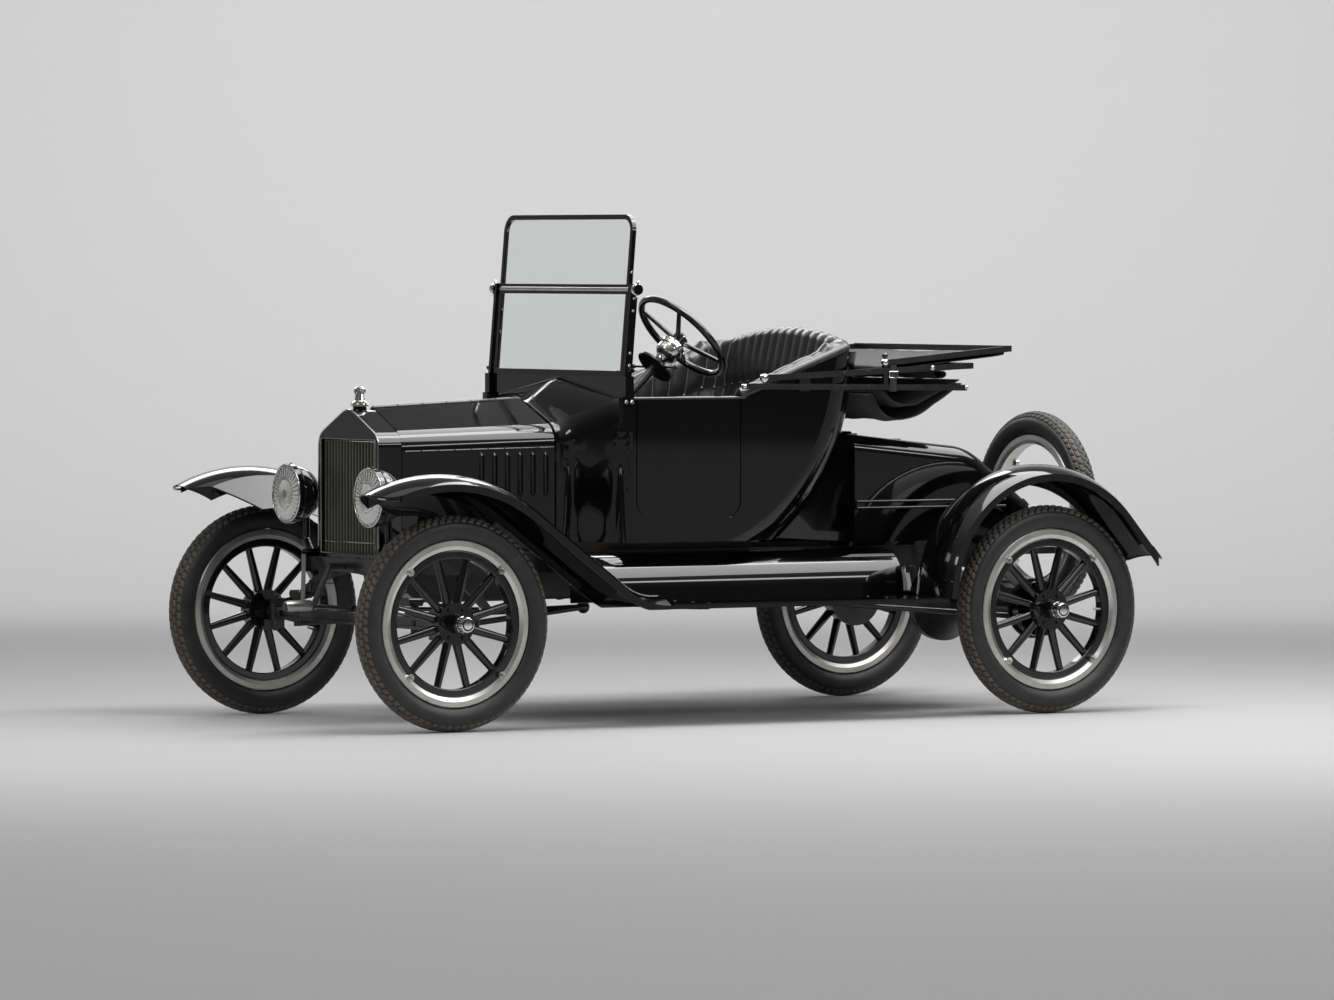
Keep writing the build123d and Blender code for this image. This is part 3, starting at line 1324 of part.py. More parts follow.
def headlamps():
    """Drum-shaped lamp shells on forked posts that stand on the frame."""
    r, d, t, back = LAMP_R, LAMP_DEPTH, LAMP_WALL, LAMP_BACK_R
    outer = [Line((0, 0), (0, back)), ThreePointArc((0, back), (d * 0.28, r * 0.78), (d * 0.75, r - 6))]
    seat_r, ledge = LENS_R + SEAT_GAP, d - LENS_T - 2
    lip = [(d * 0.75, r - 6), (d * 0.85, r), (d, r), (d, seat_r), (ledge, seat_r)]
    lip = lip + [(ledge, r - 16), (d * 0.72, r - 16)]
    edges = outer + [Line(a, b) for a, b in zip(lip, lip[1:])]
    hollow = ThreePointArc((d * 0.72, r - 16), (d * 0.36, r * 0.66), (2 * t, back - 12))
    edges = edges + [hollow, Line((2 * t, back - 12), (2 * t, 0)), Line((2 * t, 0), (0, 0))]
    shell = revolve(make_face(edges), Axis.X)
    rear = LAMP_FRONT + d
    lamp = Pos(*point(rear, LAMP_Y, LAMP_Z)) * shell
    post_s = rear - d * 0.3
    foot_y = FRAME_HALF_W - RAIL_FLANGE / 2
    post = rod((post_s, LAMP_Y, FRAME_TOP + 40), (post_s, LAMP_Y, LAMP_Z - 0.7 * r), POST_R)
    foot = rod((post_s, foot_y, FRAME_TOP), (post_s, LAMP_Y, FRAME_TOP + 42), POST_R)
    pad = block(post_s - 24, post_s + 24, FRAME_HALF_W - RAIL_FLANGE, FRAME_HALF_W, FRAME_TOP, FRAME_TOP + 6)
    knob = Pos(*point(post_s, LAMP_Y, FRAME_TOP + 41)) * Sphere(POST_R + 1)
    stand = post + foot + pad + knob
    stand = stand - block(post_s - 60, post_s + 60, 0, LAMP_Y + 60, FRAME_TOP - 60, FRAME_TOP)
    return both_sides(lamp + stand)


def headlamp_lenses():
    lens = Rot(0, 90, 0) * Cylinder(LENS_R, LENS_T)
    return both_sides(Pos(*point(LAMP_FRONT + LENS_T / 2, LAMP_Y, LAMP_Z)) * lens)


# Windshield


def shield_turn(shape):
    """Leans a shape made upright in the windshield's plane back by its rake."""
    pivot = Pos(x_at(SHIELD_STATION), 0, SHIELD_BOTTOM)
    return pivot * Rot(0, -SHIELD_RAKE, 0) * Pos(-x_at(SHIELD_STATION), 0, -SHIELD_BOTTOM) * shape


def shield_ring(z0, z1, top_r):
    w, bar = SHIELD_HALF_W, SHIELD_BAR
    outer = make_face(Polyline((-w, z0), (w, z0), (w, z1), (-w, z1), close=True))
    inner_w, i0, i1 = w - bar, z0 + bar, z1 - bar
    inner = make_face(Polyline((-inner_w, i0), (inner_w, i0), (inner_w, i1), (-inner_w, i1), close=True))
    if top_r:
        outer = fillet(outer.vertices().group_by(Axis.Y)[-1], top_r)
        inner = fillet(inner.vertices().group_by(Axis.Y)[-1], top_r - bar)
    return extrude(cross_plane(SHIELD_STATION) * (outer - inner), amount=SHIELD_DEPTH / 2, both=True)


def windshield_frame():
    """Lower and upper frames on two stanchions, with the clamp knobs at the fold."""
    low = shield_ring(SHIELD_BOTTOM, SHIELD_MID, 0)
    high = shield_ring(SHIELD_MID, SHIELD_TOP, SHIELD_CORNER_R)
    made = low + high
    s0, s1 = SHIELD_STATION - STANCHION_W / 2, SHIELD_STATION + STANCHION_W / 2
    y_in = SHIELD_HALF_W + STANCHION_GAP
    y_out = y_in + STANCHION_T
    for sign in (-1, 1):
        wide = sorted((sign * y_in, sign * y_out))
        made = made + block(s0, s1, *wide, SHIELD_BOTTOM - 10, SHIELD_MID + 20)
        for z in (SHIELD_BOTTOM + 20, SHIELD_MID):
            start = (SHIELD_STATION, sign * (SHIELD_HALF_W - 4), z)
            made = made + rod(start, (SHIELD_STATION, sign * (y_out + CLAMP_REACH - 4), z), CLAMP_R / 2)
        start = (SHIELD_STATION, sign * y_out, SHIELD_MID)
        made = made + rod(start, (SHIELD_STATION, sign * (y_out + CLAMP_REACH), SHIELD_MID), CLAMP_R)
    made = shield_turn(made)
    foot_out = BODY_HALF_W + SEAT_GAP + 10
    skin = cowl_solid(-SEAT_GAP, BODY_BOTTOM)
    for sign in (-1, 1):
        wide = sorted((sign * y_in, sign * foot_out))
        foot = block(s0 - 15, COWL_END, *wide, BELT_Z - 120, BELT_Z + 10)
        neck = block(s0 - 5, s1, *wide, BELT_Z + 6, SHIELD_BOTTOM)
        made = made + (foot - skin) + neck
    half_t = SHIELD_FILLER_T / 2
    s0, s1 = SHIELD_STATION - half_t, SHIELD_STATION + half_t
    filler = block(s0, s1, -y_in, y_in, BELT_Z - 20, SHIELD_BOTTOM + SHIELD_FILLER_T)
    return made + (filler - skin)


def windshield_glass():
    gap = SEAT_GAP
    panes = []
    for z0, z1, top_r in ((SHIELD_BOTTOM, SHIELD_MID, 0), (SHIELD_MID, SHIELD_TOP, SHIELD_CORNER_R)):
        w, i0, i1 = SHIELD_HALF_W - SHIELD_BAR - gap, z0 + SHIELD_BAR + gap, z1 - SHIELD_BAR - gap
        face = make_face(Polyline((-w, i0), (w, i0), (w, i1), (-w, i1), close=True))
        if top_r:
            face = fillet(face.vertices().group_by(Axis.Y)[-1], top_r - SHIELD_BAR)
        panes.append(shield_turn(extrude(cross_plane(SHIELD_STATION) * face, amount=GLASS_T / 2, both=True)))
    return panes[0] + panes[1]


# Steering column, wheel and controls


def steering_column():
    """Tube from the gear case under the wheel to a foot on the left rail, with the quadrant and levers."""
    foot = column_foot()
    case_low = STEER_DISH + GEAR_CASE_H
    tube = rod(column_point(case_low), column_point(foot), COLUMN_R)
    case = rod(column_point(STEER_DISH), column_point(case_low), GEAR_CASE_R)
    boss = rod(column_point(case_low), column_point(case_low + 26), GEAR_CASE_R, COLUMN_R + 4)
    quadrant = rod(column_point(case_low + 60), column_point(case_low + 68), 74)
    made = tube + case + boss + quadrant
    station, y, z = column_point(foot)
    s0, s1 = station - 34, station + 34
    made = made + block(s0, s1, y - COLUMN_R, FRAME_HALF_W, FRAME_TOP, FRAME_TOP + FOOT_PLATE_T)
    made = made + block(s0, s1, y - COLUMN_R, y + COLUMN_R - 2, FRAME_TOP, z + 14)
    made = made - rod(column_point(foot - 124), column_point(foot + 120), COLUMN_BORE_R)
    for sign in (-1, 1):
        s, y, z = column_point(case_low + 64)
        tip = (s, y + sign * 150, z)
        made = made + rod((s, y + sign * 40, z), tip, 5) + Pos(*point(*tip)) * Sphere(9)
    return made


def steering_wheel():
    """Round grip on four arms, dished above its hub."""
    rim_ring = Torus(STEER_RIM_R, STEER_GRIP_R)
    hub_low = -STEER_DISH + RUN_GAP
    low = (Align.CENTER, Align.CENTER, Align.MIN)
    hub = Pos(0, 0, hub_low) * Cylinder(STEER_HUB_R, 40, align=low)
    made = rim_ring + hub
    for k in range(STEER_ARMS):
        a = math.radians(45 + k * 360 / STEER_ARMS)
        start = Vector(0, 0, hub_low + 20)
        end = Vector(STEER_RIM_R * math.cos(a), STEER_RIM_R * math.sin(a), 0)
        arm = Plane(origin=start, z_dir=end - start)
        made = made + arm * Cone(10, 8, (end - start).length, align=low)
    lean = Plane(origin=point(*column_point(0)), z_dir=point(*column_point(0)) - point(*column_point(1)))
    return lean * made


def controls():
    """Three foot pedals on the gearbox and the hand lever on the floor."""
    s, r = PEDAL_STATION, PEDAL_R
    made = None
    for y in PEDAL_YS:
        base = (s, y, GEARBOX_TOP + SEAT_GAP + r)
        knee = (s - 10, y, TOE_TOP_Z - 40)
        pad_at = (s + 20, y, TOE_TOP_Z + 40)
        arm = rod(base, knee, r) + rod(knee, pad_at, r) + Pos(*point(*knee)) * Sphere(r)
        foot = block(s - 20, s + 20, y - 12, y + 12, GEARBOX_TOP, base[2])
        half_w, half_h = PEDAL_PAD_W / 2, PEDAL_PAD / 2
        z0, z1 = pad_at[2] - half_h, pad_at[2] + half_h
        pad = block(pad_at[0] - 10, pad_at[0] + 6, y - half_w, y + half_w, z0, z1)
        piece = arm + foot + pad
        made = piece if made is None else made + piece
    s, y, r = LEVER_STATION, LEVER_Y, LEVER_R
    top = (s + LEVER_LEAN, y, FLOOR_TOP + LEVER_H)
    base = block(s - 4 * r, s + 4 * r, y - 1.6 * r, y + 1.6 * r, FLOOR_TOP, FLOOR_TOP + 3 * r)
    lever = rod((s, y, FLOOR_TOP), top, r) + base + Pos(*point(*top)) * Sphere(1.7 * r)
    lever = lever - block(s - 6 * r, s + 6 * r, y - 6 * r, y + 6 * r, BODY_BOTTOM, FLOOR_TOP)
    return made + lever


def crank():
    """Starting handle in front of the radiator, hanging from its shaft in the front crossmember."""
    z = (FRAME_BOTTOM + CROSS_TOP) / 2
    front = -CROSS_W / 2
    across, drop = CRANK_THROW
    elbow = (front - CRANK_REACH, 0, z)
    knee = (elbow[0], -across, z - drop)
    grip_end = (knee[0] - CRANK_GRIP, *knee[1:])
    made = rod((front, 0, z), (elbow[0] - 10, 0, z), CRANK_R + 1) + rod(elbow, knee, CRANK_R)
    made = made + Pos(*point(*knee)) * Sphere(CRANK_R + 2)
    return made + rod(knee, grip_end, CRANK_R + 5)


# Folded top


def top_bows():
    """Hinged side bars of the folded top, joined across the back, with a saddle bracket on each side."""
    made = None
    half = TOP_BAR / 2
    reach = TOP_HALF_W + TOP_BAR * 0.6
    for front, knee, rear in TOP_BARS:
        slope = (knee[1] - front[1]) / (knee[0] - front[0])
        rear_z = front[1] + (rear - front[0]) * slope
        low = [(front[0], front[1] - half), (rear, rear_z - half)]
        high = [(rear, rear_z + half), (front[0], front[1] + half)]
        piece = both_sides(side_prism(low + high, TOP_HALF_W, reach))
        piece = piece + block(rear - TOP_BAR, rear, -reach, reach, rear_z - half, rear_z + half)
        made = piece if made is None else made + piece
    z = TOP_BARS[0][0][1]
    s0, s1 = SADDLE_STATION - SADDLE_W / 2, SADDLE_STATION + SADDLE_W / 2
    saddle = block(s0, s1, BODY_HALF_W + SEAT_GAP, TOP_HALF_W + 1, z - 20, z + 40)
    post = block(POST_STATION - POST_W / 2, POST_STATION + POST_W / 2, TOP_HALF_W, reach, z, z + POST_H)
    return made + both_sides(saddle + post)


def top_fabric():
    """The folded cloth, as one sagging bundle between the bars."""
    return side_prism(TOP_BUNDLE, -TOP_FABRIC_HALF_W, TOP_FABRIC_HALF_W)


# Spare wheel


def spare_place():
    return Pos(x_at(SPARE_STATION), 0, SPARE_Z) * Rot(0, 0, 90)


def spare_carrier():
    """Two bars from the rear crossmember to a curved saddle inside the spare's rim."""
    outer = RIM_INNER_R - SEAT_GAP
    inner = outer - CARRIER_T
    ring = Circle(outer) - Circle(inner)
    ring = ring - Pos(0, outer) * Rectangle(3 * outer, 2 * outer)
    saddle = extrude(cross_plane(SPARE_STATION) * Pos(0, SPARE_Z) * ring, amount=CARRIER_W / 2, both=True)
    drop = math.sqrt((inner - CARRIER_BAR / 2) ** 2 - CARRIER_BAR_Y**2)
    z = SPARE_Z - drop
    face = WHEELBASE + CROSS_W / 2
    made = saddle
    for sign in (-1, 1):
        y = sign * CARRIER_BAR_Y
        half = CARRIER_BAR / 2
        made = made + block(face, SPARE_STATION, y - half, y + half, z - half, z + half)
    return made


def all_nodes():
    shell = tub_shell()
    nodes = {
        "frame_rails": frame_rails(),
        "frame_crossmembers": frame_crossmembers(),
        "engine": engine(),
        "exhaust": exhaust(),
        "front_axle": front_axle(),
        "front_spring": front_spring(),
        "knuckle_left": knuckle(),
        "knuckle_right": other_side(knuckle()),
        "tie_rod": tie_rod(),
        "pitman_arm": pitman_arm(),
        "rear_axle": rear_axle(),
        "rear_spring": rear_spring(),
        "radiator_shell": radiator_shell(),
        "radiator_core": radiator_core(),
        "radiator_cap": radiator_cap(),
        "hood_left": hood_half(0),
        "hood_right": other_side(hood_half(1)),
        "firewall": firewall(),
        "cowl": cowl(),
        "body_left": body_left(shell),
        "body_right": body_right(shell),
        "body_back": tub_part(shell, BACK_SPLIT, SPARE_STATION, -BODY_HALF_W - 1, BODY_HALF_W + 1),
        "door": door(),
        "floor": floor(),
        "seat_cushion": seat_cushion(),
        "seat_back": seat_back(),
        "deck": deck(),
        "deck_lid": deck_lid(),
        "fenders_front": fenders_front(),
        "fenders_rear": fenders_rear(),
        "running_boards": running_boards(),
        "splash_aprons": splash_aprons(),
        "headlamps": headlamps(),
        "headlamp_lenses": headlamp_lenses(),
        "windshield_frame": windshield_frame(),
        "windshield_glass": windshield_glass(),
        "steering_column": steering_column(),
        "steering_wheel": steering_wheel(),
        "controls": controls(),
        "crank": crank(),
        "top_bows": top_bows(),
        "top_fabric": top_fabric(),
        "spare_tyre": spare_place() * tyre(),
        "spare_rim": spare_place() * rim(),
        "spare_carrier": spare_carrier(),
    }
    nodes.update(wheel_nodes())
    return nodes


def main():
    os.makedirs("parts", exist_ok=True)
    for name, shape in all_nodes().items():
        export_step(shape, f"parts/{name}.step")


main()
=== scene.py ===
"""Looks for the brass era car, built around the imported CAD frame.

Pieces are laid out in millimetres as (station, y, z): stations are distances behind the front axle, y is to
the left and z is up from the ground. spot() turns them into the row frame's metres.
"""

import json
import bpy
import numpy as np
from math import atan2, copysign, cos, dist, exp, hypot, pi, radians, sin, sqrt, tan
from mathutils import Matrix, Vector


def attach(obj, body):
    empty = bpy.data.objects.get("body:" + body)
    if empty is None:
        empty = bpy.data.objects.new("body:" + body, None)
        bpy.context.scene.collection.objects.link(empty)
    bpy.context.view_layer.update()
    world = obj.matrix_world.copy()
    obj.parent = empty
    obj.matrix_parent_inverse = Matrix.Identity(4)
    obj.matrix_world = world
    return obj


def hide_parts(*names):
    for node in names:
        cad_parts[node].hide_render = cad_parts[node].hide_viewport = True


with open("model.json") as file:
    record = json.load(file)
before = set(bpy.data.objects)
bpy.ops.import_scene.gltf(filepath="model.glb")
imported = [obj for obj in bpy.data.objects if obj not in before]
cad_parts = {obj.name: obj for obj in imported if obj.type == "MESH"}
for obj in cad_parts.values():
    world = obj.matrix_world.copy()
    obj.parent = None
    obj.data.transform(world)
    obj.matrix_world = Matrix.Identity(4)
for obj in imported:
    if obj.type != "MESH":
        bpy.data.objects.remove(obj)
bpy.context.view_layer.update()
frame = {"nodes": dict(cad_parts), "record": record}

# Camera fitted to the photograph
CAMERA_AT = (16.1775, 26.98, 1.704)
CAMERA_YAW = -120.9606
CAMERA_PITCH = -1.6595
CAMERA_ROLL = 0.044
SENSOR = 36
FOCAL_PX = 8468.075
PHOTO_W = 1334
CAMERA_FAR = 300

# Places and sizes on the car that the pieces follow, in millimetres and degrees
FRONT_AXLE_X = 1312.5
WHEELBASE = 2540
TRACK = 1422
TYRE_R = 387.5
SECTION_R = 47.5
SPARE = (2965, 0, 721)
HUB_FACE = 33
HUB_END = 72
RIM_LUG_R = 264
RIM_LUG_FACE = 37.3
LAMP_Y = 310
LAMP_Z = 828
LAMP_FRONT = -118
LENS_R = 102.5
RADIATOR_FRONT = -30
RADIATOR_HALF_W = 226
RADIATOR_SHOULDER = 1046
RADIATOR_APEX = 1152
CORE_FACE = -16
CORE_TUBES = 18
CORE_TUBE_W = 10
BODY_HALF_W = 505
BELT_Z = 1180
TUB_INSIDE = 476.7
BACK_ARC = ((1560, 655), (1738, 851), (1866, 1160))
SEAT_DECK_Z = 905
SHIELD_STATION = 856
SHIELD_BOTTOM = 1262
SHIELD_MID = 1578
SHIELD_RAKE = 4.8
FENDER_EDGE_Y = 832.4
FENDER_IN_Y = 592
FENDER_OUT_Y = 838
FENDER_RISE = 34
FRONT_TIP = -352
TIP_R = 105
WIRE_DROP = 23
SKIRT_TURN = (17, 76)
SKIRT_TOP = (849, 842)
SKIRT_DEPTH = 47
SKIRT_T = 3
BOARD_FRONT = 838
BOARD_Z = 440
BOARD_T = 14
FRONT_FENDER = ((-336, 822), (-70, 889), (290, 772))
REAR_FENDER = ((2048, 500), (2420, 888), (2830, 738))
REAR_END_Z = 560
REAR_TIP_R = 70
REAR_TIP_FROM = 2937
WHEEL_CENTRE = (1250, 224, 1403)
COLUMN_ANGLE = 43.5

# Light and stage, in metres and watts
SKY = ((0.0, 0.045), (0.3, 0.1), (0.68, 0.3), (1.0, 0.85))
FLOOR_COLOUR = (0.76, 0.76, 0.77)
FLOOR_FRONT = 45
FLOOR_HALF_W = 40
WALL_AT = 9
WALL_TURN = 6
WALL_STEPS = 16
WALL_TOP = 30
LAMPS = {
    "top_box": dict(at=(-0.7, 1.2, 4.3), aim=(-0.4, 0.2, 0.8), size=(4.4, 0.9), power=80),
    "front_box": dict(at=(5.2, 1.6, 3.4), aim=(0.8, 0.2, 0.8), size=(2.2, 0.7), power=34),
    "side_strip": dict(at=(-2.6, 5.2, 3.0), aim=(-0.6, 0.4, 0.5), size=(3.6, 0.4), power=36),
    "wall_wash": dict(at=(-4.6, -7.6, 6.5), aim=(-8.2, -13.6, 3.0), size=(14.0, 1.5), power=360),
    "shine_card": dict(
        at=(-2.2, 1.1, 4.7), aim=(-1.6, 0.4, 0.6), size=(6.0, 5.8), power=540, shine_only=True
    ),
    "back_card": dict(
        at=(-1.2, -5.2, 4.4), aim=(0.8, -0.4, 0.8), size=(5.0, 1.6), power=110, shine_only=True
    ),
}


# Materials


def shader(name):
    material = bpy.data.materials.new(name)
    material.use_nodes = True
    tree = material.node_tree
    return material, tree, tree.nodes["Principled BSDF"]


def put(node, values):
    """Sets a shader node's inputs by their names, each to a value or to another node's output."""
    for name, value in values.items():
        if isinstance(value, bpy.types.NodeSocket):
            node.id_data.links.new(value, node.inputs[name])
        else:
            node.inputs[name].default_value = value


def object_place(tree):
    return tree.nodes.new("ShaderNodeTexCoord").outputs["Object"]


def noise(tree, place, scale, detail, rough=0.5):
    node = tree.nodes.new("ShaderNodeTexNoise")
    put(node, {"Scale": scale, "Detail": detail, "Roughness": rough, "Vector": place})
    return node.outputs["Fac"]


def ramp(tree, factor, low, high, dark, light):
    node = tree.nodes.new("ShaderNodeValToRGB")
    ends = node.color_ramp.elements
    ends[0].position, ends[1].position = low, high
    ends[0].color, ends[1].color = (*dark, 1), (*light, 1)
    put(node, {"Fac": factor})
    return node.outputs["Color"]


def bump(tree, height, depth, below=None):
    node = tree.nodes.new("ShaderNodeBump")
    put(node, {"Distance": depth, "Height": height})
    if below is not None:
        put(node, {"Normal": below})
    return node.outputs["Normal"]


def waves_bump(tree, place, direction, scale, depth, below):
    """Bump of parallel waves, on top of the bump below."""
    node = tree.nodes.new("ShaderNodeTexWave")
    node.bands_direction = direction
    put(node, {"Scale": scale, "Vector": place})
    return bump(tree, node.outputs["Fac"], depth, below)


def vary_gloss(tree, bsdf, factor, low, high):
    """Lets the roughness follow a factor from low to high."""
    node = tree.nodes.new("ShaderNodeMapRange")
    put(node, {"To Min": low, "To Max": high, "Value": factor})
    put(bsdf, {"Roughness": node.outputs["Result"]})


def shades(colour, low, high):
    """A darker and a lighter shade of a colour."""
    return [tuple(min(1, c * share) for c in colour) for share in (low, high)]


def finish_material(name, colour, rough, metal=0.0, coat=0.0, cloud=6, spread=0.18, grain=200, depth=0.0001,
                    dust=None, waves=None, shine=0.5):
    """A finish with a wandering colour and gloss, a fine grain, and dust or ribs where asked for."""
    material, tree, bsdf = shader(name)
    place = object_place(tree)
    drift = noise(tree, place, cloud, 6, 0.6)
    tint = ramp(tree, drift, 0.32, 0.7, *shades(colour, 1 - spread, 1 + spread))
    if dust is not None:
        amount = ramp(tree, noise(tree, place, 23, 8, 0.7), 0.42, 0.75, (0, 0, 0), (1, 1, 1))
        mix = tree.nodes.new("ShaderNodeMix")
        mix.data_type = "RGBA"
        put(mix, {"Factor": amount, "A": tint, "B": (*dust, 1)})
        tint = mix.outputs["Result"]
    vary_gloss(tree, bsdf, drift, rough * 0.75, rough * 1.3)
    put(bsdf, {"Metallic": metal, "Specular IOR Level": shine, "Coat Weight": coat, "Coat Roughness": 0.03})
    normal = bump(tree, noise(tree, place, grain, 3), depth)
    if waves is not None:
        normal = waves_bump(tree, place, *waves, normal)
    put(bsdf, {"Base Color": tint, "Normal": normal})
    return material


def hide_material(name, colour, rough, cell, depth):
    """Leather: a net of fine creases between small pebbles, with worn, glossier high places."""
    material, tree, bsdf = shader(name)
    place = object_place(tree)
    drift = noise(tree, place, 9, 7, 0.65)
    tint = ramp(tree, drift, 0.3, 0.72, *shades(colour, 0.7, 1.5))
    vary_gloss(tree, bsdf, drift, rough * 1.25, rough * 0.8)
    cells = tree.nodes.new("ShaderNodeTexVoronoi")
    cells.feature = "DISTANCE_TO_EDGE"
    put(cells, {"Scale": cell, "Vector": place})
    creases = bump(tree, cells.outputs["Distance"], depth)
    normal = bump(tree, noise(tree, place, 35, 5), 0.0008, creases)
    put(bsdf, {"Base Color": tint, "Normal": normal, "Coat Weight": 0.35, "Coat Roughness": 0.22})
    return material


def weave_material(name, colour, rough, pitch, depth):
    """Coated cloth: two crossed sets of threads, with dusty fading."""
    material, tree, bsdf = shader(name)
    place = object_place(tree)
    drift = noise(tree, place, 11, 8, 0.7)
    tint = ramp(tree, drift, 0.35, 0.8, *shades(colour, 0.75, 1.9))
    normal = bump(tree, noise(tree, place, 26, 5), 0.002)
    for direction in ("X", "Y"):
        normal = waves_bump(tree, place, direction, pitch, depth, normal)
    put(bsdf, {"Base Color": tint, "Normal": normal, "Roughness": rough, "Sheen Weight": 0.25})
    return material


def glass_material(name, colour, rough, clear=1.0):
    """Clear or milky glass with a faint, uneven film."""
    material, tree, bsdf = shader(name)
    put(bsdf, {"Base Color": (*colour, 1), "Transmission Weight": clear, "IOR": 1.45})
    vary_gloss(tree, bsdf, noise(tree, object_place(tree), 14, 5), rough, rough * 2.5)
    return material


# Colour, roughness and what else sets each finish apart
FINISHES = {
    "black_enamel": (
        (0.003, 0.003, 0.0035), 0.14, dict(coat=1.0, cloud=3, grain=90, depth=0.00001, shine=0.1)
    ),
    "chassis_black": ((0.01, 0.01, 0.011), 0.3, dict(coat=0.4, depth=0.00006, dust=(0.03, 0.028, 0.025))),
    "wheel_paint": ((0.004, 0.004, 0.0045), 0.2, dict(coat=0.9, depth=0.00003, shine=0.2)),
    "spring_steel": ((0.016, 0.016, 0.017), 0.4, dict(coat=0.2, dust=(0.04, 0.035, 0.03))),
    "tyre_rubber": (
        (0.019, 0.0185, 0.018), 0.5, dict(grain=500, depth=0.00008, dust=(0.036, 0.034, 0.031))
    ),
    "tread_rubber": ((0.095, 0.085, 0.073), 0.8, dict(grain=380, depth=0.0003, dust=(0.17, 0.148, 0.122))),
    "rim_zinc": ((0.66, 0.65, 0.62), 0.3, dict(metal=1.0, grain=320, depth=0.00003)),
    "core_metal": ((0.016, 0.016, 0.014), 0.6, dict(metal=0.2)),
    "core_tube": ((0.15, 0.15, 0.128), 0.45, dict(metal=0.4, depth=0.00005, waves=("Z", 60, 0.001))),
    "nickel": ((0.8, 0.79, 0.76), 0.12, dict(metal=1.0, depth=0.00001, spread=0.06)),
    "mirror_silver": ((0.94, 0.94, 0.92), 0.34, dict(metal=1.0, depth=0.00001, spread=0.03)),
    "engine_iron": ((0.04, 0.04, 0.04), 0.6, dict(metal=0.3, depth=0.0004, dust=(0.07, 0.055, 0.045))),
    "exhaust_steel": ((0.1, 0.085, 0.075), 0.55, dict(metal=0.7, depth=0.0002, dust=(0.12, 0.06, 0.035))),
    "floor_wood": ((0.05, 0.034, 0.022), 0.6, dict(waves=("Y", 9, 0.0006))),
    # seam_cord_painted_highlight: pale grey on the seat's seam cords, painted highlight along the seams; the
    # cords themselves are real piping
    "seam_cord_painted_highlight": ((0.2, 0.197, 0.19), 0.5, dict(depth=0.0002)),
    "strap_webbing": ((0.21, 0.2, 0.18), 0.8, dict(depth=0.0004)),
}
MATERIALS = {
    "seat_leather": hide_material("seat_leather", (0.025, 0.025, 0.026), 0.3, cell=330, depth=0.0004),
    "top_cloth": weave_material("top_cloth", (0.012, 0.012, 0.0125), 0.62, pitch=190, depth=0.0004),
    "pane_glass": glass_material("pane_glass", (0.93, 0.95, 0.94), 0.01),
    "lens_glass": glass_material("lens_glass", (0.97, 0.96, 0.94), 0.02, clear=0.9),
    # lens_painted_starburst: milky, whiter glass on a starburst of lens faces, a painted highlight standing
    # in for the glints the fluted lens throws
    "lens_painted_starburst": glass_material("lens_painted_starburst", (0.97, 0.96, 0.94), 0.08, clear=0.25),
}
for finish_name, (finish_colour, finish_rough, more) in FINISHES.items():
    MATERIALS[finish_name] = finish_material(finish_name, finish_colour, finish_rough, **more)

SLOT_OF = {row["node"]: row["material_slot"] for row in frame["record"]["subparts"]}
for node_name, node in frame["nodes"].items():
    node.data.materials.clear()
    node.data.materials.append(MATERIALS[SLOT_OF[node_name]])


# Building blocks


def spot(station, y, z):
    """A place on the car in the row frame, in metres."""
    return Vector((FRONT_AXLE_X - station, y, z)) / 1000


def turns(count):
    """Angles that divide a full turn equally."""
    return [2 * pi * k / count for k in range(count)]


def add_object(name, data):
    obj = bpy.data.objects.new(name, data)
    bpy.context.scene.collection.objects.link(obj)
    return obj


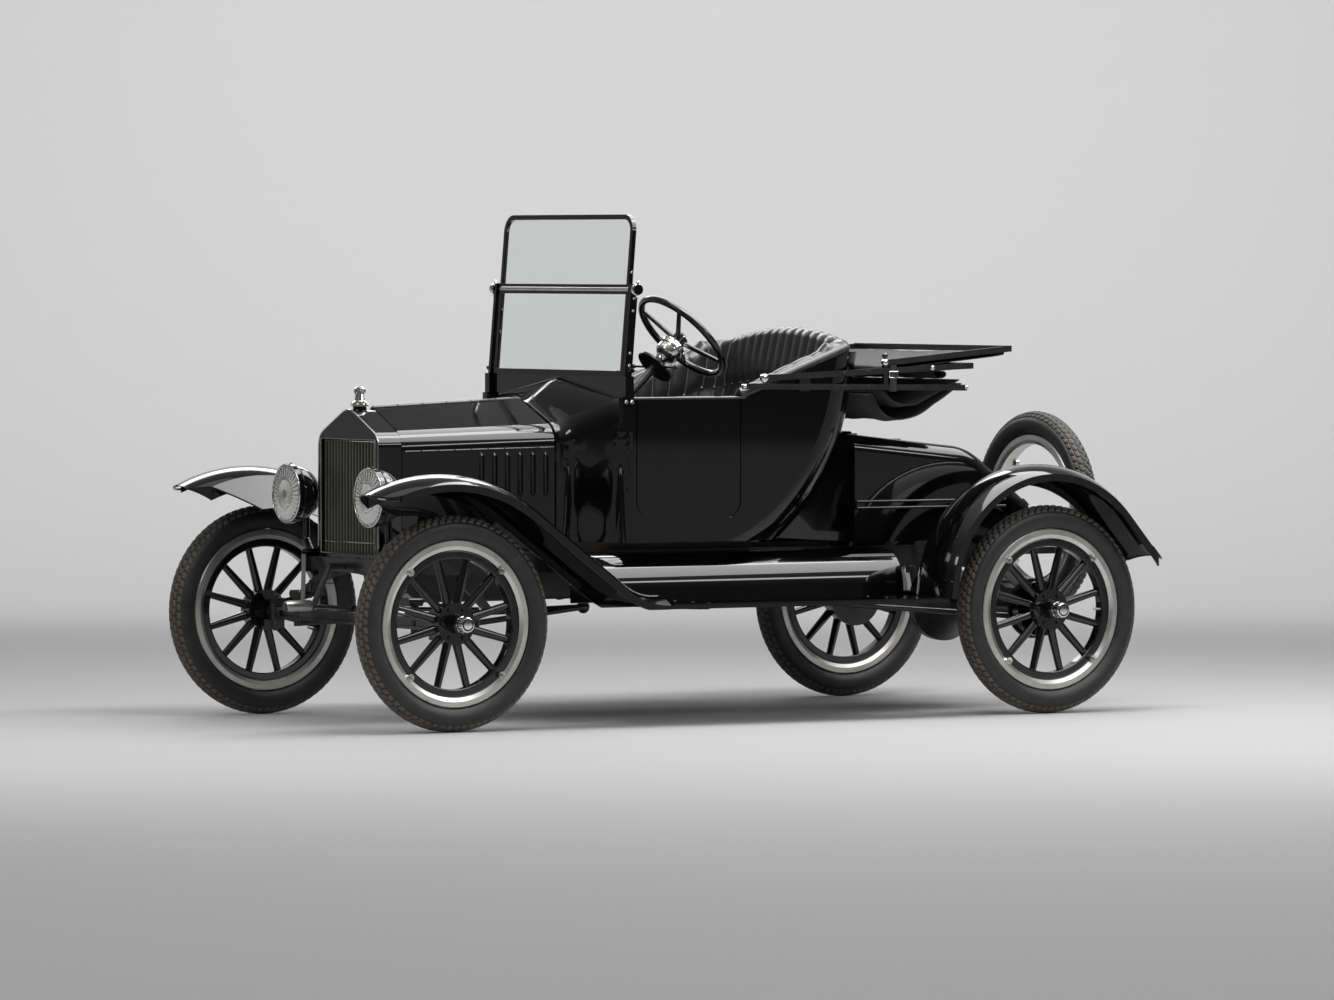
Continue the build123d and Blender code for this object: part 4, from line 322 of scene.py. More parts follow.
class Piece:
    """Gathers the faces of one object, in metres, with a material number for each face."""

    def __init__(self):
        self.points = []
        self.faces = []
        self.marks = []

    def grid(self, rows, mark=0, wrap_rows=False, wrap_columns=False):
        """Joins rows of points, all equally long, into a net of four-sided faces."""
        start, wide, tall = len(self.points), len(rows[0]), len(rows)
        for row in rows:
            self.points.extend(row)
        for i in range(tall if wrap_rows else tall - 1):
            for j in range(wide if wrap_columns else wide - 1):
                i2, j2 = (i + 1) % tall, (j + 1) % wide
                corners = (i * wide + j, i2 * wide + j, i2 * wide + j2, i * wide + j2)
                self.faces.append([start + c for c in corners])
                self.marks.append(mark)
        return start

    def cap(self, indices, mark=0):
        self.faces.append(list(indices))
        self.marks.append(mark)

    def loft(self, rows, mark=0):
        """Joins closed rings of points, all equally long, and closes the first and the last of them."""
        wide = len(rows[0])
        start = self.grid(rows, mark, wrap_columns=True)
        last = start + (len(rows) - 1) * wide
        self.cap([start + k for k in range(wide)], mark)
        self.cap([last + k for k in reversed(range(wide))], mark)

    def lathe(self, centre, axis, profile, count=24, mark=0):
        """Turns (radius, distance along the axis) points, in millimetres, round an axis."""
        along = Vector(axis).normalized()
        side = along.orthogonal().normalized()
        other = along.cross(side)
        ring = [side * cos(a) + other * sin(a) for a in turns(count)]
        rows = [[centre + (along * reach + r * radius) / 1000 for r in ring] for radius, reach in profile]
        self.loft(rows, mark)

    def tube(self, path, radius, count=10, mark=0, closed=False):
        """A round bar, with its radius in millimetres, along places in the row frame."""
        path = [Vector(p) for p in path]
        rows = []
        side = None
        for k, p in enumerate(path):
            before = path[k - 1] if k > 0 or closed else p
            after = path[(k + 1) % len(path)] if k < len(path) - 1 or closed else p
            along = (after - before).normalized()
            if side is None:
                side = along.orthogonal().normalized()
            side = (side - along * side.dot(along)).normalized()
            other = along.cross(side)
            r = (radius[k] if isinstance(radius, list) else radius) / 1000
            rows.append([p + (side * cos(a) + other * sin(a)) * r for a in turns(count)])
        if closed:
            self.grid(rows, mark, wrap_rows=True, wrap_columns=True)
        else:
            self.loft(rows, mark)

    def ball(self, centre, radius, mark=0, count=16):
        steps = 10
        angles = [pi * k / steps for k in range(steps + 1)]
        profile = [(max(radius * sin(a), 0.05), -radius * cos(a)) for a in angles]
        self.lathe(centre, (0, 0, 1), profile, count, mark)

    def brick(self, s0, s1, y0, y1, z0, z1, mark=0):
        corners = [spot(s, y, z) for z in (z0, z1) for s, y in ((s0, y0), (s1, y0), (s1, y1), (s0, y1))]
        start = len(self.points)
        self.points.extend(corners)
        sides = ((0, 1, 2, 3), (7, 6, 5, 4), (0, 4, 5, 1), (1, 5, 6, 2), (2, 6, 7, 3), (3, 7, 4, 0))
        for side in sides:
            self.cap([start + c for c in side], mark)

    def bolt(self, at, axis, radius, height, mark=0):
        """A hexagon head with a bevelled end."""
        profile = [(radius, 0), (radius, height * 0.7), (radius * 0.82, height)]
        self.lathe(at, axis, profile, 6, mark)

    def mesh(self, name, slots, sharp):
        """The faces as a mesh that wears the named materials in the order of the marks."""
        mesh = bpy.data.meshes.new(name)
        mesh.from_pydata([tuple(p) for p in self.points], [], self.faces)
        for slot in slots:
            mesh.materials.append(MATERIALS[slot])
        mesh.polygons.foreach_set("material_index", self.marks)
        mesh.polygons.foreach_set("use_smooth", [True] * len(mesh.polygons))
        mesh.update()
        mesh.set_sharp_from_angle(angle=radians(sharp))
        return mesh

    def build(self, name, slots, body="chassis", sharp=40):
        """Makes the object and lets it ride a body."""
        obj = add_object(name, self.mesh(name, slots, sharp))
        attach(obj, body)
        return obj


def circle_through(a, b, c):
    """Centre and radius of the circle through three flat points."""
    (ax, ay), (bx, by), (cx, cy) = a, b, c
    d = 2 * (ax * (by - cy) + bx * (cy - ay) + cx * (ay - by))
    a2, b2, c2 = ax * ax + ay * ay, bx * bx + by * by, cx * cx + cy * cy
    x = (a2 * (by - cy) + b2 * (cy - ay) + c2 * (ay - by)) / d
    y = (a2 * (cx - bx) + b2 * (ax - cx) + c2 * (bx - ax)) / d
    return (x, y), hypot(ax - x, ay - y)


def arc_points(a, b, c, count):
    """Points along the arc from a through b to c."""
    (x, y), radius = circle_through(a, b, c)
    start, end = atan2(a[1] - y, a[0] - x), atan2(c[1] - y, c[0] - x)
    middle = atan2(b[1] - y, b[0] - x)
    turn = (end - start) % (2 * pi)
    if (middle - start) % (2 * pi) > turn:
        turn -= 2 * pi
    angles = [start + turn * k / (count - 1) for k in range(count)]
    return [(x + radius * cos(t), y + radius * sin(t)) for t in angles]


def smooth(low, high, value):
    t = np.clip((value - low) / (high - low), 0, 1)
    return t * t * (3 - 2 * t)


SIDES = {"left": 1, "right": -1}
WHEELS = {
    f"{end}_{side}": dict(at=(station, sign * TRACK / 2, TYRE_R), sign=sign, body=f"wheel_{end}_{side}")
    for end, station in (("front", 0), ("rear", WHEELBASE))
    for side, sign in SIDES.items()
}


# Tyres and wheels

TREAD_TURNS = 78
TREAD_ROWS = (-46, -23, 0, 23, 46)
TREAD_HALF = 9.6
TREAD_DEPTH = 4.2
TREAD_EDGE = 60
TREAD_FADE = 6
BLOCK_SLANT = 0.012
BLOCK_ENDS = (0.30, 0.40)
BLOCK_BEVEL = 2.2
BEAD_ANGLE = 147
RIB_ANGLES = (78, 118)
RIB_EDGES = (1.5, 4)
RIB_RISE = 0.6
SIDEWALL_IN = 0.8
AROUND = 780
TREAD_STEPS = 40
SIDEWALL_STEPS = 9


def tyre_piece():
    """A round tyre with staggered rows of small blocks, its axle along Y, centred on the origin."""
    turn = np.arange(AROUND) / AROUND
    lean = np.concatenate([
        np.linspace(-BEAD_ANGLE, -TREAD_EDGE, SIDEWALL_STEPS, endpoint=False),
        np.linspace(-TREAD_EDGE, TREAD_EDGE, TREAD_STEPS, endpoint=False),
        np.linspace(TREAD_EDGE, BEAD_ANGLE, SIDEWALL_STEPS),
    ])
    u, v = np.meshgrid(turn * TREAD_TURNS, lean, indexing="ij")
    blocks = np.zeros_like(u)
    for k, row in enumerate(TREAD_ROWS):
        place = np.abs((u + 0.5 * (k % 2) + BLOCK_SLANT * (v - row)) % 1 - 0.5)
        long_way = 1 - smooth(*BLOCK_ENDS, place)
        wide_way = 1 - smooth(TREAD_HALF - BLOCK_BEVEL, TREAD_HALF, np.abs(v - row))
        blocks = np.maximum(blocks, long_way * wide_way)
    in_tread = 1 - smooth(TREAD_EDGE - TREAD_FADE, TREAD_EDGE + TREAD_FADE, np.abs(v))
    ribs = sum(1 - smooth(*RIB_EDGES, np.abs(np.abs(v) - rib)) for rib in RIB_ANGLES)
    section = SECTION_R - SIDEWALL_IN + RIB_RISE * ribs * (1 - in_tread)
    section = section * (1 - in_tread) + (SECTION_R - TREAD_DEPTH + TREAD_DEPTH * blocks) * in_tread
    tilt = np.radians(v)
    radius = TYRE_R - SECTION_R + section * np.cos(tilt)
    angle = 2 * np.pi * turn[:, None]
    xyz = np.stack([radius * np.cos(angle), section * np.sin(tilt), radius * np.sin(angle)], -1) / 1000
    tyre = Piece()
    tyre.grid([[tuple(p) for p in row] for row in xyz], wrap_rows=True, wrap_columns=True)
    raised = ((blocks > 0.5) & (np.abs(v) < TREAD_EDGE)).ravel()
    tyre.marks = [int(mark) for mark in raised]
    return tyre


def add_tyres():
    """One tyre's mesh on the four road wheels and on the spare's carrier."""
    mesh = tyre_piece().mesh("tyre_road", ("tyre_rubber", "tread_rubber"), sharp=50)
    for name, wheel in WHEELS.items():
        tyre = add_object(f"tyre_road_{name}", mesh)
        tyre.matrix_world = Matrix.Translation(spot(*wheel["at"]))
        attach(tyre, wheel["body"])
        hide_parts(f"tyre_{name}")
    spare = add_object("tyre_road_spare", mesh)
    spare.matrix_world = Matrix.Translation(spot(*SPARE)) @ Matrix.Rotation(pi / 2, 4, "Z")
    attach(spare, "chassis")
    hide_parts("spare_tyre")


VALVE_ANGLES = {"front_left": 12, "front_right": 200, "rear_left": 181, "rear_right": 30}
VALVE_REACH = (206, 266)
VALVE_FACE = 10
HUB_CAP_FLATS = ((31, 0), (31, 12), (29, 14))
HUB_CAP_DOME = ((28.6, 13), (28.6, 40), (27, 44), (22, 46.6), (12, 47.4), (0.1, 47.6))
HUB_BOLT_RING = 57
RIM_STUD = ((5, 6), (5, 13), (3.4, 15))


def round_the_wheel(at, sign, radius, angle, face):
    """A place on a wheel's outer side, at an angle round its axle and a distance from its middle."""
    a = radians(angle)
    s, y, z = at
    return spot(s - radius * cos(a), y + sign * face, z + radius * sin(a))


def add_wheel_trim():
    """Nickel hub cap, hub bolts, rim nuts and a valve stem on each road wheel."""
    for name, wheel in WHEELS.items():
        at, sign = wheel["at"], wheel["sign"]
        out = (0, sign, 0)
        trim = Piece()
        cap_at = round_the_wheel(at, sign, 0, 0, HUB_END - 1)
        trim.lathe(cap_at, out, HUB_CAP_FLATS, 8)
        trim.lathe(cap_at, out, HUB_CAP_DOME, 40)
        for k in range(6):
            trim.bolt(round_the_wheel(at, sign, HUB_BOLT_RING, 60 * k, HUB_FACE), out, 8, 7, 1)
        for k in range(4):
            nut_at = round_the_wheel(at, sign, RIM_LUG_R, 45 + 90 * k, RIM_LUG_FACE)
            trim.bolt(nut_at, out, 9.5, 8, 2)
            trim.lathe(nut_at, out, RIM_STUD, 14, 2)
        valve = [round_the_wheel(at, sign, r, VALVE_ANGLES[name], VALVE_FACE) for r in VALVE_REACH]
        trim.tube(valve, [4.2, 5.2], 10, 2)
        trim.build(f"wheel_trim_{name}", ("nickel", "wheel_paint", "rim_zinc"), wheel["body"])


# Lamps and radiator

LENS_RADII = np.linspace(0.5, LENS_R, 26)
LENS_COLUMNS = 192
LENS_CROWN = 7
LENS_BACK = -4
RING_DEPTH = 0.8
RING_PITCH = 0.42
FLUTES = 32
FLUTE_DEPTH = 2.2
FLUTE_FULL = 30
# STARBURST_FACES to STARBURST_OUT lay out the painted starburst of whiter lens faces
STARBURST_FACES = 4
STARBURST_IN = 14
STARBURST_BREAK = 52
STARBURST_GAP = 3
STARBURST_OUT = 94
LAMP_RIM_R = 105.5


def ring_ahead(at, front, radius, count):
    """A ring of places round the line that a lamp points along."""
    return [at + Vector((front, radius * cos(a), radius * sin(a))) / 1000 for a in turns(count)]


def lens_rows(at):
    """Rings of a lens, from the middle of its fluted, crowned front to the middle of its flat back."""
    rows = []
    for radius in LENS_RADII:
        crown = LENS_CROWN * (1 - (radius / LENS_R) ** 2)
        ring = RING_DEPTH * cos(radius * RING_PITCH)
        row = []
        for a in turns(LENS_COLUMNS):
            flute = FLUTE_DEPTH * cos(FLUTES * a) * min(1, radius / FLUTE_FULL)
            front = 1 + crown + flute + ring
            row.append(at + Vector((front, radius * cos(a), radius * sin(a))) / 1000)
        rows.append(row)
    return rows + [ring_ahead(at, LENS_BACK, r, LENS_COLUMNS) for r in (LENS_R, LENS_R * 0.005)]


def add_lamps():
    """Fluted lens, reflector, bulb and bright rim in each lamp shell; a starburst of the lens faces wears
    milky, whiter glass as painted glints.
    """
    lenses = Piece()
    fittings = Piece()
    pitch = LENS_COLUMNS // FLUTES
    bowl = [(12 + 83 * sqrt(t), -76 + 66 * t) for t in np.linspace(0, 1, 14)]
    bowl = bowl + [(r - 1.2, d) for r, d in reversed(bowl)]
    for sign in SIDES.values():
        at = spot(LAMP_FRONT, sign * LAMP_Y, LAMP_Z)
        first_face = len(lenses.faces)
        lenses.loft(lens_rows(at))
        # Faces in a starburst of spokes and rings take the milky, whiter glass: painted highlight for the
        # lens's glints, not a difference in the glass
        for i, radius in enumerate(LENS_RADII):
            shift = pitch // 2 if radius < STARBURST_BREAK else 0
            fluted = STARBURST_IN < radius < STARBURST_OUT and abs(radius - STARBURST_BREAK) > STARBURST_GAP
            for k in range(LENS_COLUMNS):
                painted_starburst_face = fluted and (k + shift) % pitch < STARBURST_FACES
                lenses.marks[first_face + i * LENS_COLUMNS + k] = int(painted_starburst_face)
        fittings.lathe(at, (1, 0, 0), bowl, 48, 2)
        fittings.ball(at + Vector((-0.044, 0, 0)), 13, 1)
        fittings.tube(ring_ahead(at, 0.5, LAMP_RIM_R, 64), 2.6, 10, closed=True)
        fittings.bolt(at + Vector((-0.02, 0, 0.108)), (0, 0, 1), 5, 6)
    lens = lenses.build("lamp_lenses", ("lens_glass", "lens_painted_starburst"), sharp=60)
    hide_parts("headlamp_lenses")
    fittings.build("lamp_fittings", ("nickel", "lens_glass", "mirror_silver"))


CORE_LOW = 616
CORE_HIGH = 1033
CORE_HALF_W = 204
SHELL_FOOT = 640
SHOULDER_R = 62
APEX_R = 110
CAP_BACK = 47.5
CAP_LOBE_RING = 31


def shell_edge():
    """(y, z) places over the radiator shell, up one side, round its shoulders and peak and down the other."""
    side = RADIATOR_HALF_W - 1
    slope = atan2(RADIATOR_APEX - RADIATOR_SHOULDER, RADIATOR_HALF_W)
    bend = pi / 2 - slope
    low_turn = RADIATOR_SHOULDER - SHOULDER_R * tan(bend / 2)
    apex_z = RADIATOR_APEX - APEX_R / cos(slope)
    edge = [(side, SHELL_FOOT), (side, low_turn)]
    for k in range(1, 9):
        a = bend * k / 8
        edge.append((side - SHOULDER_R * (1 - cos(a)), low_turn + SHOULDER_R * sin(a)))
    for k in range(9):
        a = slope * (1 - k / 8)
        edge.append((APEX_R * sin(a), apex_z + APEX_R * cos(a)))
    return edge + [(-y, z) for y, z in reversed(edge[:-1])]


def add_radiator_trim():
    """Bright edges and bars, the core's tubes, and the lobes and wings of the filler cap."""
    trim = Piece()
    half_w = CORE_HALF_W
    window = ((-half_w, CORE_LOW), (half_w, CORE_LOW), (half_w, CORE_HIGH), (-half_w, CORE_HIGH))
    trim.tube([spot(RADIATOR_FRONT - 1, y, z) for y, z in window], 3.2, 8, closed=True)
    trim.tube([spot(RADIATOR_FRONT, y, z - 1) for y, z in shell_edge()], 2.6, 8)
    for z in (CORE_LOW + 42, CORE_HIGH - 6):
        trim.tube([spot(RADIATOR_FRONT + 9, y, z) for y in (-half_w, half_w)], 3, 8)
    for k in range(CORE_TUBES):
        y = half_w * ((2 * k + 1) / CORE_TUBES - 1)
        across = (y - CORE_TUBE_W / 2, y + CORE_TUBE_W / 2)
        trim.brick(CORE_FACE - 2.5, CORE_FACE + 1, *across, CORE_LOW, CORE_HIGH, 1)
    cap_at = spot(RADIATOR_FRONT + CAP_BACK, 0, RADIATOR_APEX)
    for a in turns(8):
        lobe = Vector((CAP_LOBE_RING * cos(a), CAP_LOBE_RING * sin(a), 7)) / 1000
        trim.ball(cap_at + lobe, 4, 0, 10)
    for sign in (-1, 1):
        trim.ball(cap_at + Vector((0, sign * 15, 61)) / 1000, 11, 0, 16)
    trim.build("radiator_trim", ("nickel", "core_tube"))


# Hood, windshield and body

HOOD_HINGE = ((78, 990), (682, 1001))
HINGE_PIECES = 9
CATCH_STATIONS = (190, 560)
CATCH_KNOB = ((9, 0), (10, 10), (7, 18), (0.2, 20))


def hood_side(station):
    """Distance from the car's middle to the hood's side, which widens towards the back."""
    return 222 + 40 * (station - 70) / 615


def add_hood_trim():
    """Piano hinge along each hood side, and two catches below it."""
    (s0, z0), (s1, z1) = HOOD_HINGE
    for side, sign in SIDES.items():
        trim = Piece()
        for k in range(HINGE_PIECES):
            path = []
            for t in ((k + 0.04) / HINGE_PIECES, (k + 0.96) / HINGE_PIECES):
                s = s0 + (s1 - s0) * t
                path.append(spot(s, sign * (hood_side(s) + 2), z0 + (z1 - z0) * t))
            trim.tube(path, 3.6, 10, 1)
        for s in CATCH_STATIONS:
            y = hood_side(s)
            trim.brick(s - 14, s + 14, sign * y, sign * (y + 5), 660, 700, 2)
            trim.lathe(spot(s, sign * (y + 5), 676), (0, sign, 0), CATCH_KNOB, 16, 2)
        trim.build(f"hood_trim_{side}", ("nickel", "black_enamel", "nickel"), f"hood_{side}")


FOLD_BAR_HALF = 468
STANCHION_Y = 500
FRAME_Y = 470
WING_ROOT_Y = 514
WING_TIP_Y = 522
WING_LIFT = 26
CLAMP_KNOB = ((15, 0), (15, 10), (22, 13), (22, 20), (12, 27), (6, 29))
SCREW_HEIGHTS = (1300, 1345, 1500, 1545, 1640)
FOOT_BOLTS = ((838, 1168), (862, 1168))
FOOT_FACE = 515.3
# Where the painted highlight line runs beside the lower pane, across and up
PANE_HIGHLIGHT_Y = 473
PANE_HIGHLIGHT_Z = (1281, 1561)


def shield_spot(y, z):
    """A place on the windshield's leaning plane, at a height measured up from its foot."""
    a = radians(SHIELD_RAKE)
    rise = z - SHIELD_BOTTOM
    return spot(SHIELD_STATION + rise * sin(a), y, SHIELD_BOTTOM + rise * cos(a))


def add_windshield_trim():
    """Bright fold bar, clamps with wings, stanchion screws, foot bolts, and a thin nickel line beside the
    lower pane as a painted highlight on the frame's edge.
    """
    trim = Piece()
    trim.tube([shield_spot(y, SHIELD_MID) for y in (-FOLD_BAR_HALF, FOLD_BAR_HALF)], 10.5, 16)
    for sign in SIDES.values():
        out = (0, sign, 0)
        trim.lathe(shield_spot(sign * STANCHION_Y, SHIELD_MID), out, CLAMP_KNOB, 24, 1)
        for lift in (-WING_LIFT, WING_LIFT):
            wing = shield_spot(sign * WING_TIP_Y, SHIELD_MID + lift)
            trim.tube([shield_spot(sign * WING_ROOT_Y, SHIELD_MID), wing], [8, 5], 10, 1)
            trim.ball(wing, 6.5, 1, 12)
        for z in SCREW_HEIGHTS:
            y = STANCHION_Y if z < SHIELD_MID else FRAME_Y
            trim.bolt(shield_spot(sign * y, z), out, 6.5, 5, 1)
        for s, z in FOOT_BOLTS:
            trim.bolt(spot(s, sign * FOOT_FACE, z), out, 8.5, 6, 1)
        # Thin nickel line along the frame's edge beside the lower pane: painted highlight
        trim.tube([shield_spot(sign * PANE_HIGHLIGHT_Y, z) for z in PANE_HIGHLIGHT_Z], 2.2, 8, 1)
    trim.build("windshield_trim", ("rim_zinc", "nickel"))


BEAD_ENDS = (874, 1352)
ARM_ROLL = (1338, 1800)
ARM_ROLL_R = 21
ARM_ROLL_END = ((21, 0), (21, 4), (15, 8), (5, 9))


def add_body_trim():
    """Bead along the left side's top edge, and a stuffed leather roll along each arm."""
    beads = Piece()
    rolls = Piece()
    beads.tube([spot(s, BODY_HALF_W - 3, BELT_Z) for s in BEAD_ENDS], 6, 10)
    for sign in SIDES.values():
        path, radii = [], []
        for t in np.linspace(0, 1, 26):
            s = ARM_ROLL[0] + t * (ARM_ROLL[1] - ARM_ROLL[0])
            z = BELT_Z + 14 + max(0, (s - 1350)) / 450 * 168
            path.append(spot(s, sign * (BODY_HALF_W - 17), z))
            radii.append(ARM_ROLL_R - 3 * t + 0.8 * sin(60 * t))
        rolls.tube(path, radii, 18)
        rolls.lathe(path[0] + Vector((0.001, 0, 0)), (1, 0, 0), ARM_ROLL_END, 20, 1)
    beads.build("body_beads", ("black_enamel",))
    roll = rolls.build("arm_rolls", ("seat_leather", "chassis_black"))


# Seat


def back_face(z):
    """Station of the outside of the tub's back at a height: an arc that runs up into a straight line."""
    (x, y), radius = circle_through(*BACK_ARC)
    top = BACK_ARC[2]
    if z <= top[1]:
        return x + sqrt(radius**2 - (z - y) ** 2)
    slope = -(top[1] - y) / (top[0] - x)
    return top[0] + (z - top[1]) * slope


PAD_T = 60
PAD_SECTIONS = 401
PAD_FRONT_POINTS = 26
PLEAT_DEPTH = 10
PLEAT_FLAT = 0.42
ROLL_DEPTH = 5
BUTTON_SHARE = 0.62
BUTTON_IN = 3
BUTTON_DOME = ((9, 0), (9, 3), (7, 6), (3, 7.6), (0.1, 8))
PINCH_REACH = 26
CORD_R = 2.6
CORD_POINTS = slice(4, 35)
PAD_CORNER = 122
BACK_WALL = 28.3
ARM_FRONT = 1358
ARM_TOP = ((1356, 1206), (1700, 1345), (1768, 1432))
BACK_TOP = 1350
BACK_CROWN = 80
TOP_LOOK_Z = 1300

# Share of the lining's length and number of pleats along an arm, a corner, the back, a corner and an arm
BANDS = ((0.30, 5), (0.08, 2), (0.24, 13), (0.08, 2), (0.30, 5))


def pad_place(share, z, depth):
    """(station, y, way in) at a share of the U-shaped lining's length, a depth in from the tub."""
    half_w = TUB_INSIDE - depth
    back = back_face(z) - BACK_WALL - depth
    corner = max(PAD_CORNER - depth, 15)
    arm = back - corner - ARM_FRONT
    for k, (part, _) in enumerate(BANDS):
        if share <= part or k == len(BANDS) - 1:
            t = min(share / part, 1)
            break
        share -= part
    if k == 0:
        return ARM_FRONT + arm * t, half_w, (0, -1)
    if k == 4:
        return ARM_FRONT + arm * (1 - t), -half_w, (0, 1)
    if k == 2:
        return back, (half_w - corner) * (1 - 2 * t), (-1, 0)
    a = t * pi / 2 if k == 1 else (1 - t) * pi / 2
    side = 1 if k == 1 else -1
    s = back - corner + corner * sin(a)
    return s, side * (half_w - corner + corner * cos(a)), (-sin(a), -side * cos(a))


def pad_top(s, y):
    """Height of the lining's top: up along the arms, then crowned across the back."""
    (s0, z0), (s1, z1), (s2, z2) = ARM_TOP
    arm = z0 + (s - s0) / (s1 - s0) * (z1 - z0)
    if s > s1:
        arm = z1 + (s - s1) / (s2 - s1) * (z2 - z1)
    crown = BACK_TOP + BACK_CROWN * (1 - (y / BODY_HALF_W) ** 2)
    return min(arm, crown)


def pad_heights(share):
    """Heights of the lining's foot, buttons and top at a share of its length."""
    low = SEAT_DECK_Z + 2
    s, y, _ = pad_place(share, TOP_LOOK_Z, PAD_T)
    top = pad_top(s, y)
    return low, low + (top - low) * BUTTON_SHARE, top


def pleat_seams():
    seams, start = [], 0
    for part, count in BANDS:
        seams.extend(start + part * k / count for k in range(count))
        start += part
    return seams + [1.0]


def pad_ring(share, plump):
    """Section of the lining at a share of its length: up the front, over the top roll and down the tub."""
    low, button_z, top = pad_heights(share)
    roll = PAD_T / 2
    ring = []
    for t in np.linspace(0, 1, PAD_FRONT_POINTS):
        z = low + (top - roll - low) * t
        pinch = exp(-((z - button_z) / PINCH_REACH) ** 2)
        bulge = PLEAT_DEPTH * plump * (1 - 0.55 * pinch) + 4 * sin(pi * t) - 5 * pinch
        s, y, (ds, dy) = pad_place(share, z, PAD_T)
        ring.append(spot(s + ds * bulge, y + dy * bulge, z))
    for t in np.linspace(0, 1, 13)[1:-1]:
        a = pi * t
        r = roll + ROLL_DEPTH * plump * sin(a)
        s, y, (ds, dy) = pad_place(share, top - roll, roll)
        reach = r * cos(a) + PLEAT_DEPTH * plump * max(0, 1 - 3 * t)
        ring.append(spot(s + ds * reach, y + dy * reach, top - roll + r * sin(a)))
    for z in (top - roll, (top + low) / 2, low):
        s, y, _ = pad_place(share, z, 0)
        ring.append(spot(s, y, z))
    return ring


def add_seat_back():
    """Stuffed lining with sewn upright pleats, a cord in each seam painted pale grey as a highlight along it,
    and a row of buttons.
    """
    seams = pleat_seams()
    pad = Piece()
    buttons = Piece()
    rows = []
    for share in np.linspace(0, 1, PAD_SECTIONS):
        k = min(max(np.searchsorted(seams, share, side="right") - 1, 0), len(seams) - 2)
        f = (share - seams[k]) / (seams[k + 1] - seams[k])
        rows.append(pad_ring(share, max(sin(pi * f), 0) ** PLEAT_FLAT))
    pad.loft(rows)
    lining = pad.build("seat_back_pad", ("seat_leather",), sharp=65)
    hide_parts("seat_back")
    for share in seams[1:-1]:
        _, z, _ = pad_heights(share)
        s, y, (ds, dy) = pad_place(share, z, PAD_T)
        at = spot(s - ds * BUTTON_IN, y - dy * BUTTON_IN, z)
        buttons.lathe(at, (-ds, dy, 0), BUTTON_DOME, 14)
        # Cord in the seam, pale grey as painted highlight along it
        buttons.tube(pad_ring(share, 0)[CORD_POINTS], CORD_R, 8, 1)
    button = buttons.build("seat_buttons", ("seat_leather", "seam_cord_painted_highlight"))


CUSHION_S = (1344, 1636)
CUSHION_HALF_W = 408
CUSHION_TOP = 1028
CUSHION_PLEATS = 11
CUSHION_SECTIONS = 177
CUSHION_POINTS = 48


def add_seat_cushion():
    """Stuffed cushion with pleats from front to back, crowned and pulled in along its sides."""
    pad = Piece()
    s0, s1 = CUSHION_S
    low, high = SEAT_DECK_Z, CUSHION_TOP
    rows = []
    for v in np.linspace(-1, 1, CUSHION_SECTIONS):
        f = (v + 1) / 2 * CUSHION_PLEATS % 1
        plump = sin(pi * f) ** 0.5 if 0 < f < 1 else 0
        edge = (1 - abs(v) ** 6) ** 0.5 if abs(v) < 1 else 0
        ring = []
        for a in np.linspace(0, 2 * pi, CUSHION_POINTS, endpoint=False):
            c, n = cos(a), sin(a)
            ds = copysign(abs(c) ** 0.35, c)
            dz = copysign(abs(n) ** 0.4, n)
            bulge = 9 * plump * max(0, dz) * (1 - abs(ds) ** 4)
            reach = (s1 - s0) / 2 * (0.97 + 0.03 * edge) - 3 * (1 - plump)
            rise = (high - low - 12) / 2 * dz * (0.62 + 0.38 * edge)
            z = (low + high) / 2 + rise + bulge - 4 * (1 - edge)
            ring.append(spot((s0 + s1) / 2 + reach * ds, v * CUSHION_HALF_W, max(z, low)))
        rows.append(ring)
    pad.loft(rows)
    cushion = pad.build("seat_cushion_pad", ("seat_leather",), sharp=65)
    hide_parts("seat_cushion")


# Folded top

CLOTH_STEP = 11
CLOTH_COLUMNS = 61
CLOTH_T = 0.0025


def dense(path, step):
    """The same path rounded at its corners, with points at least the step apart before its end."""
    curve = [Vector((*p, 0)) for p in path]
    for _ in range(3):
        cut = [curve[0]]
        for a, b in zip(curve, curve[1:]):
            cut.extend((a.lerp(b, 0.25), a.lerp(b, 0.75)))
        curve = cut + [curve[-1]]
    out = [curve[0]]
    for p in curve[1:]:
        if (p - out[-1]).length >= step:
            out.append(p)
    if (curve[-1] - out[-1]).length > 1:
        out.append(curve[-1])
    return [(p.x, p.y) for p in out]


def cloth(name, path, half_w, sag, wrinkle, seed):
    """A sheet along a path of (station, z), with some sag and wrinkles, and its flat size in metres."""
    line = dense(path, CLOTH_STEP)
    length = sum(dist(a, b) for a, b in zip(line, line[1:]))
    piece = Piece()
    rows = []
    for k, (s, z) in enumerate(line):
        t = k / (len(line) - 1)
        arch = sin(pi * t)
        row = []
        for v in np.linspace(-1, 1, CLOTH_COLUMNS):
            dip = sag * (1 - v * v) * arch
            wave = sin(7.3 * v + 9 * t + seed) + 0.6 * sin(17 * v - 13 * t + 2 * seed)
            wave += 0.35 * sin(31 * v + 23 * t + 3 * seed)
            fade = arch**0.5
            row.append(spot(s + 0.4 * wrinkle * wave * fade, v * half_w, z - dip + wrinkle * wave * fade))
        rows.append(row)
    piece.grid(rows)
    obj = piece.build(name, ("top_cloth",), sharp=180)
    solid = obj.modifiers.new("thickness", "SOLIDIFY")
    solid.thickness = CLOTH_T
    solid.offset = 0
    return obj, (2 * half_w / 1000, length / 1000)


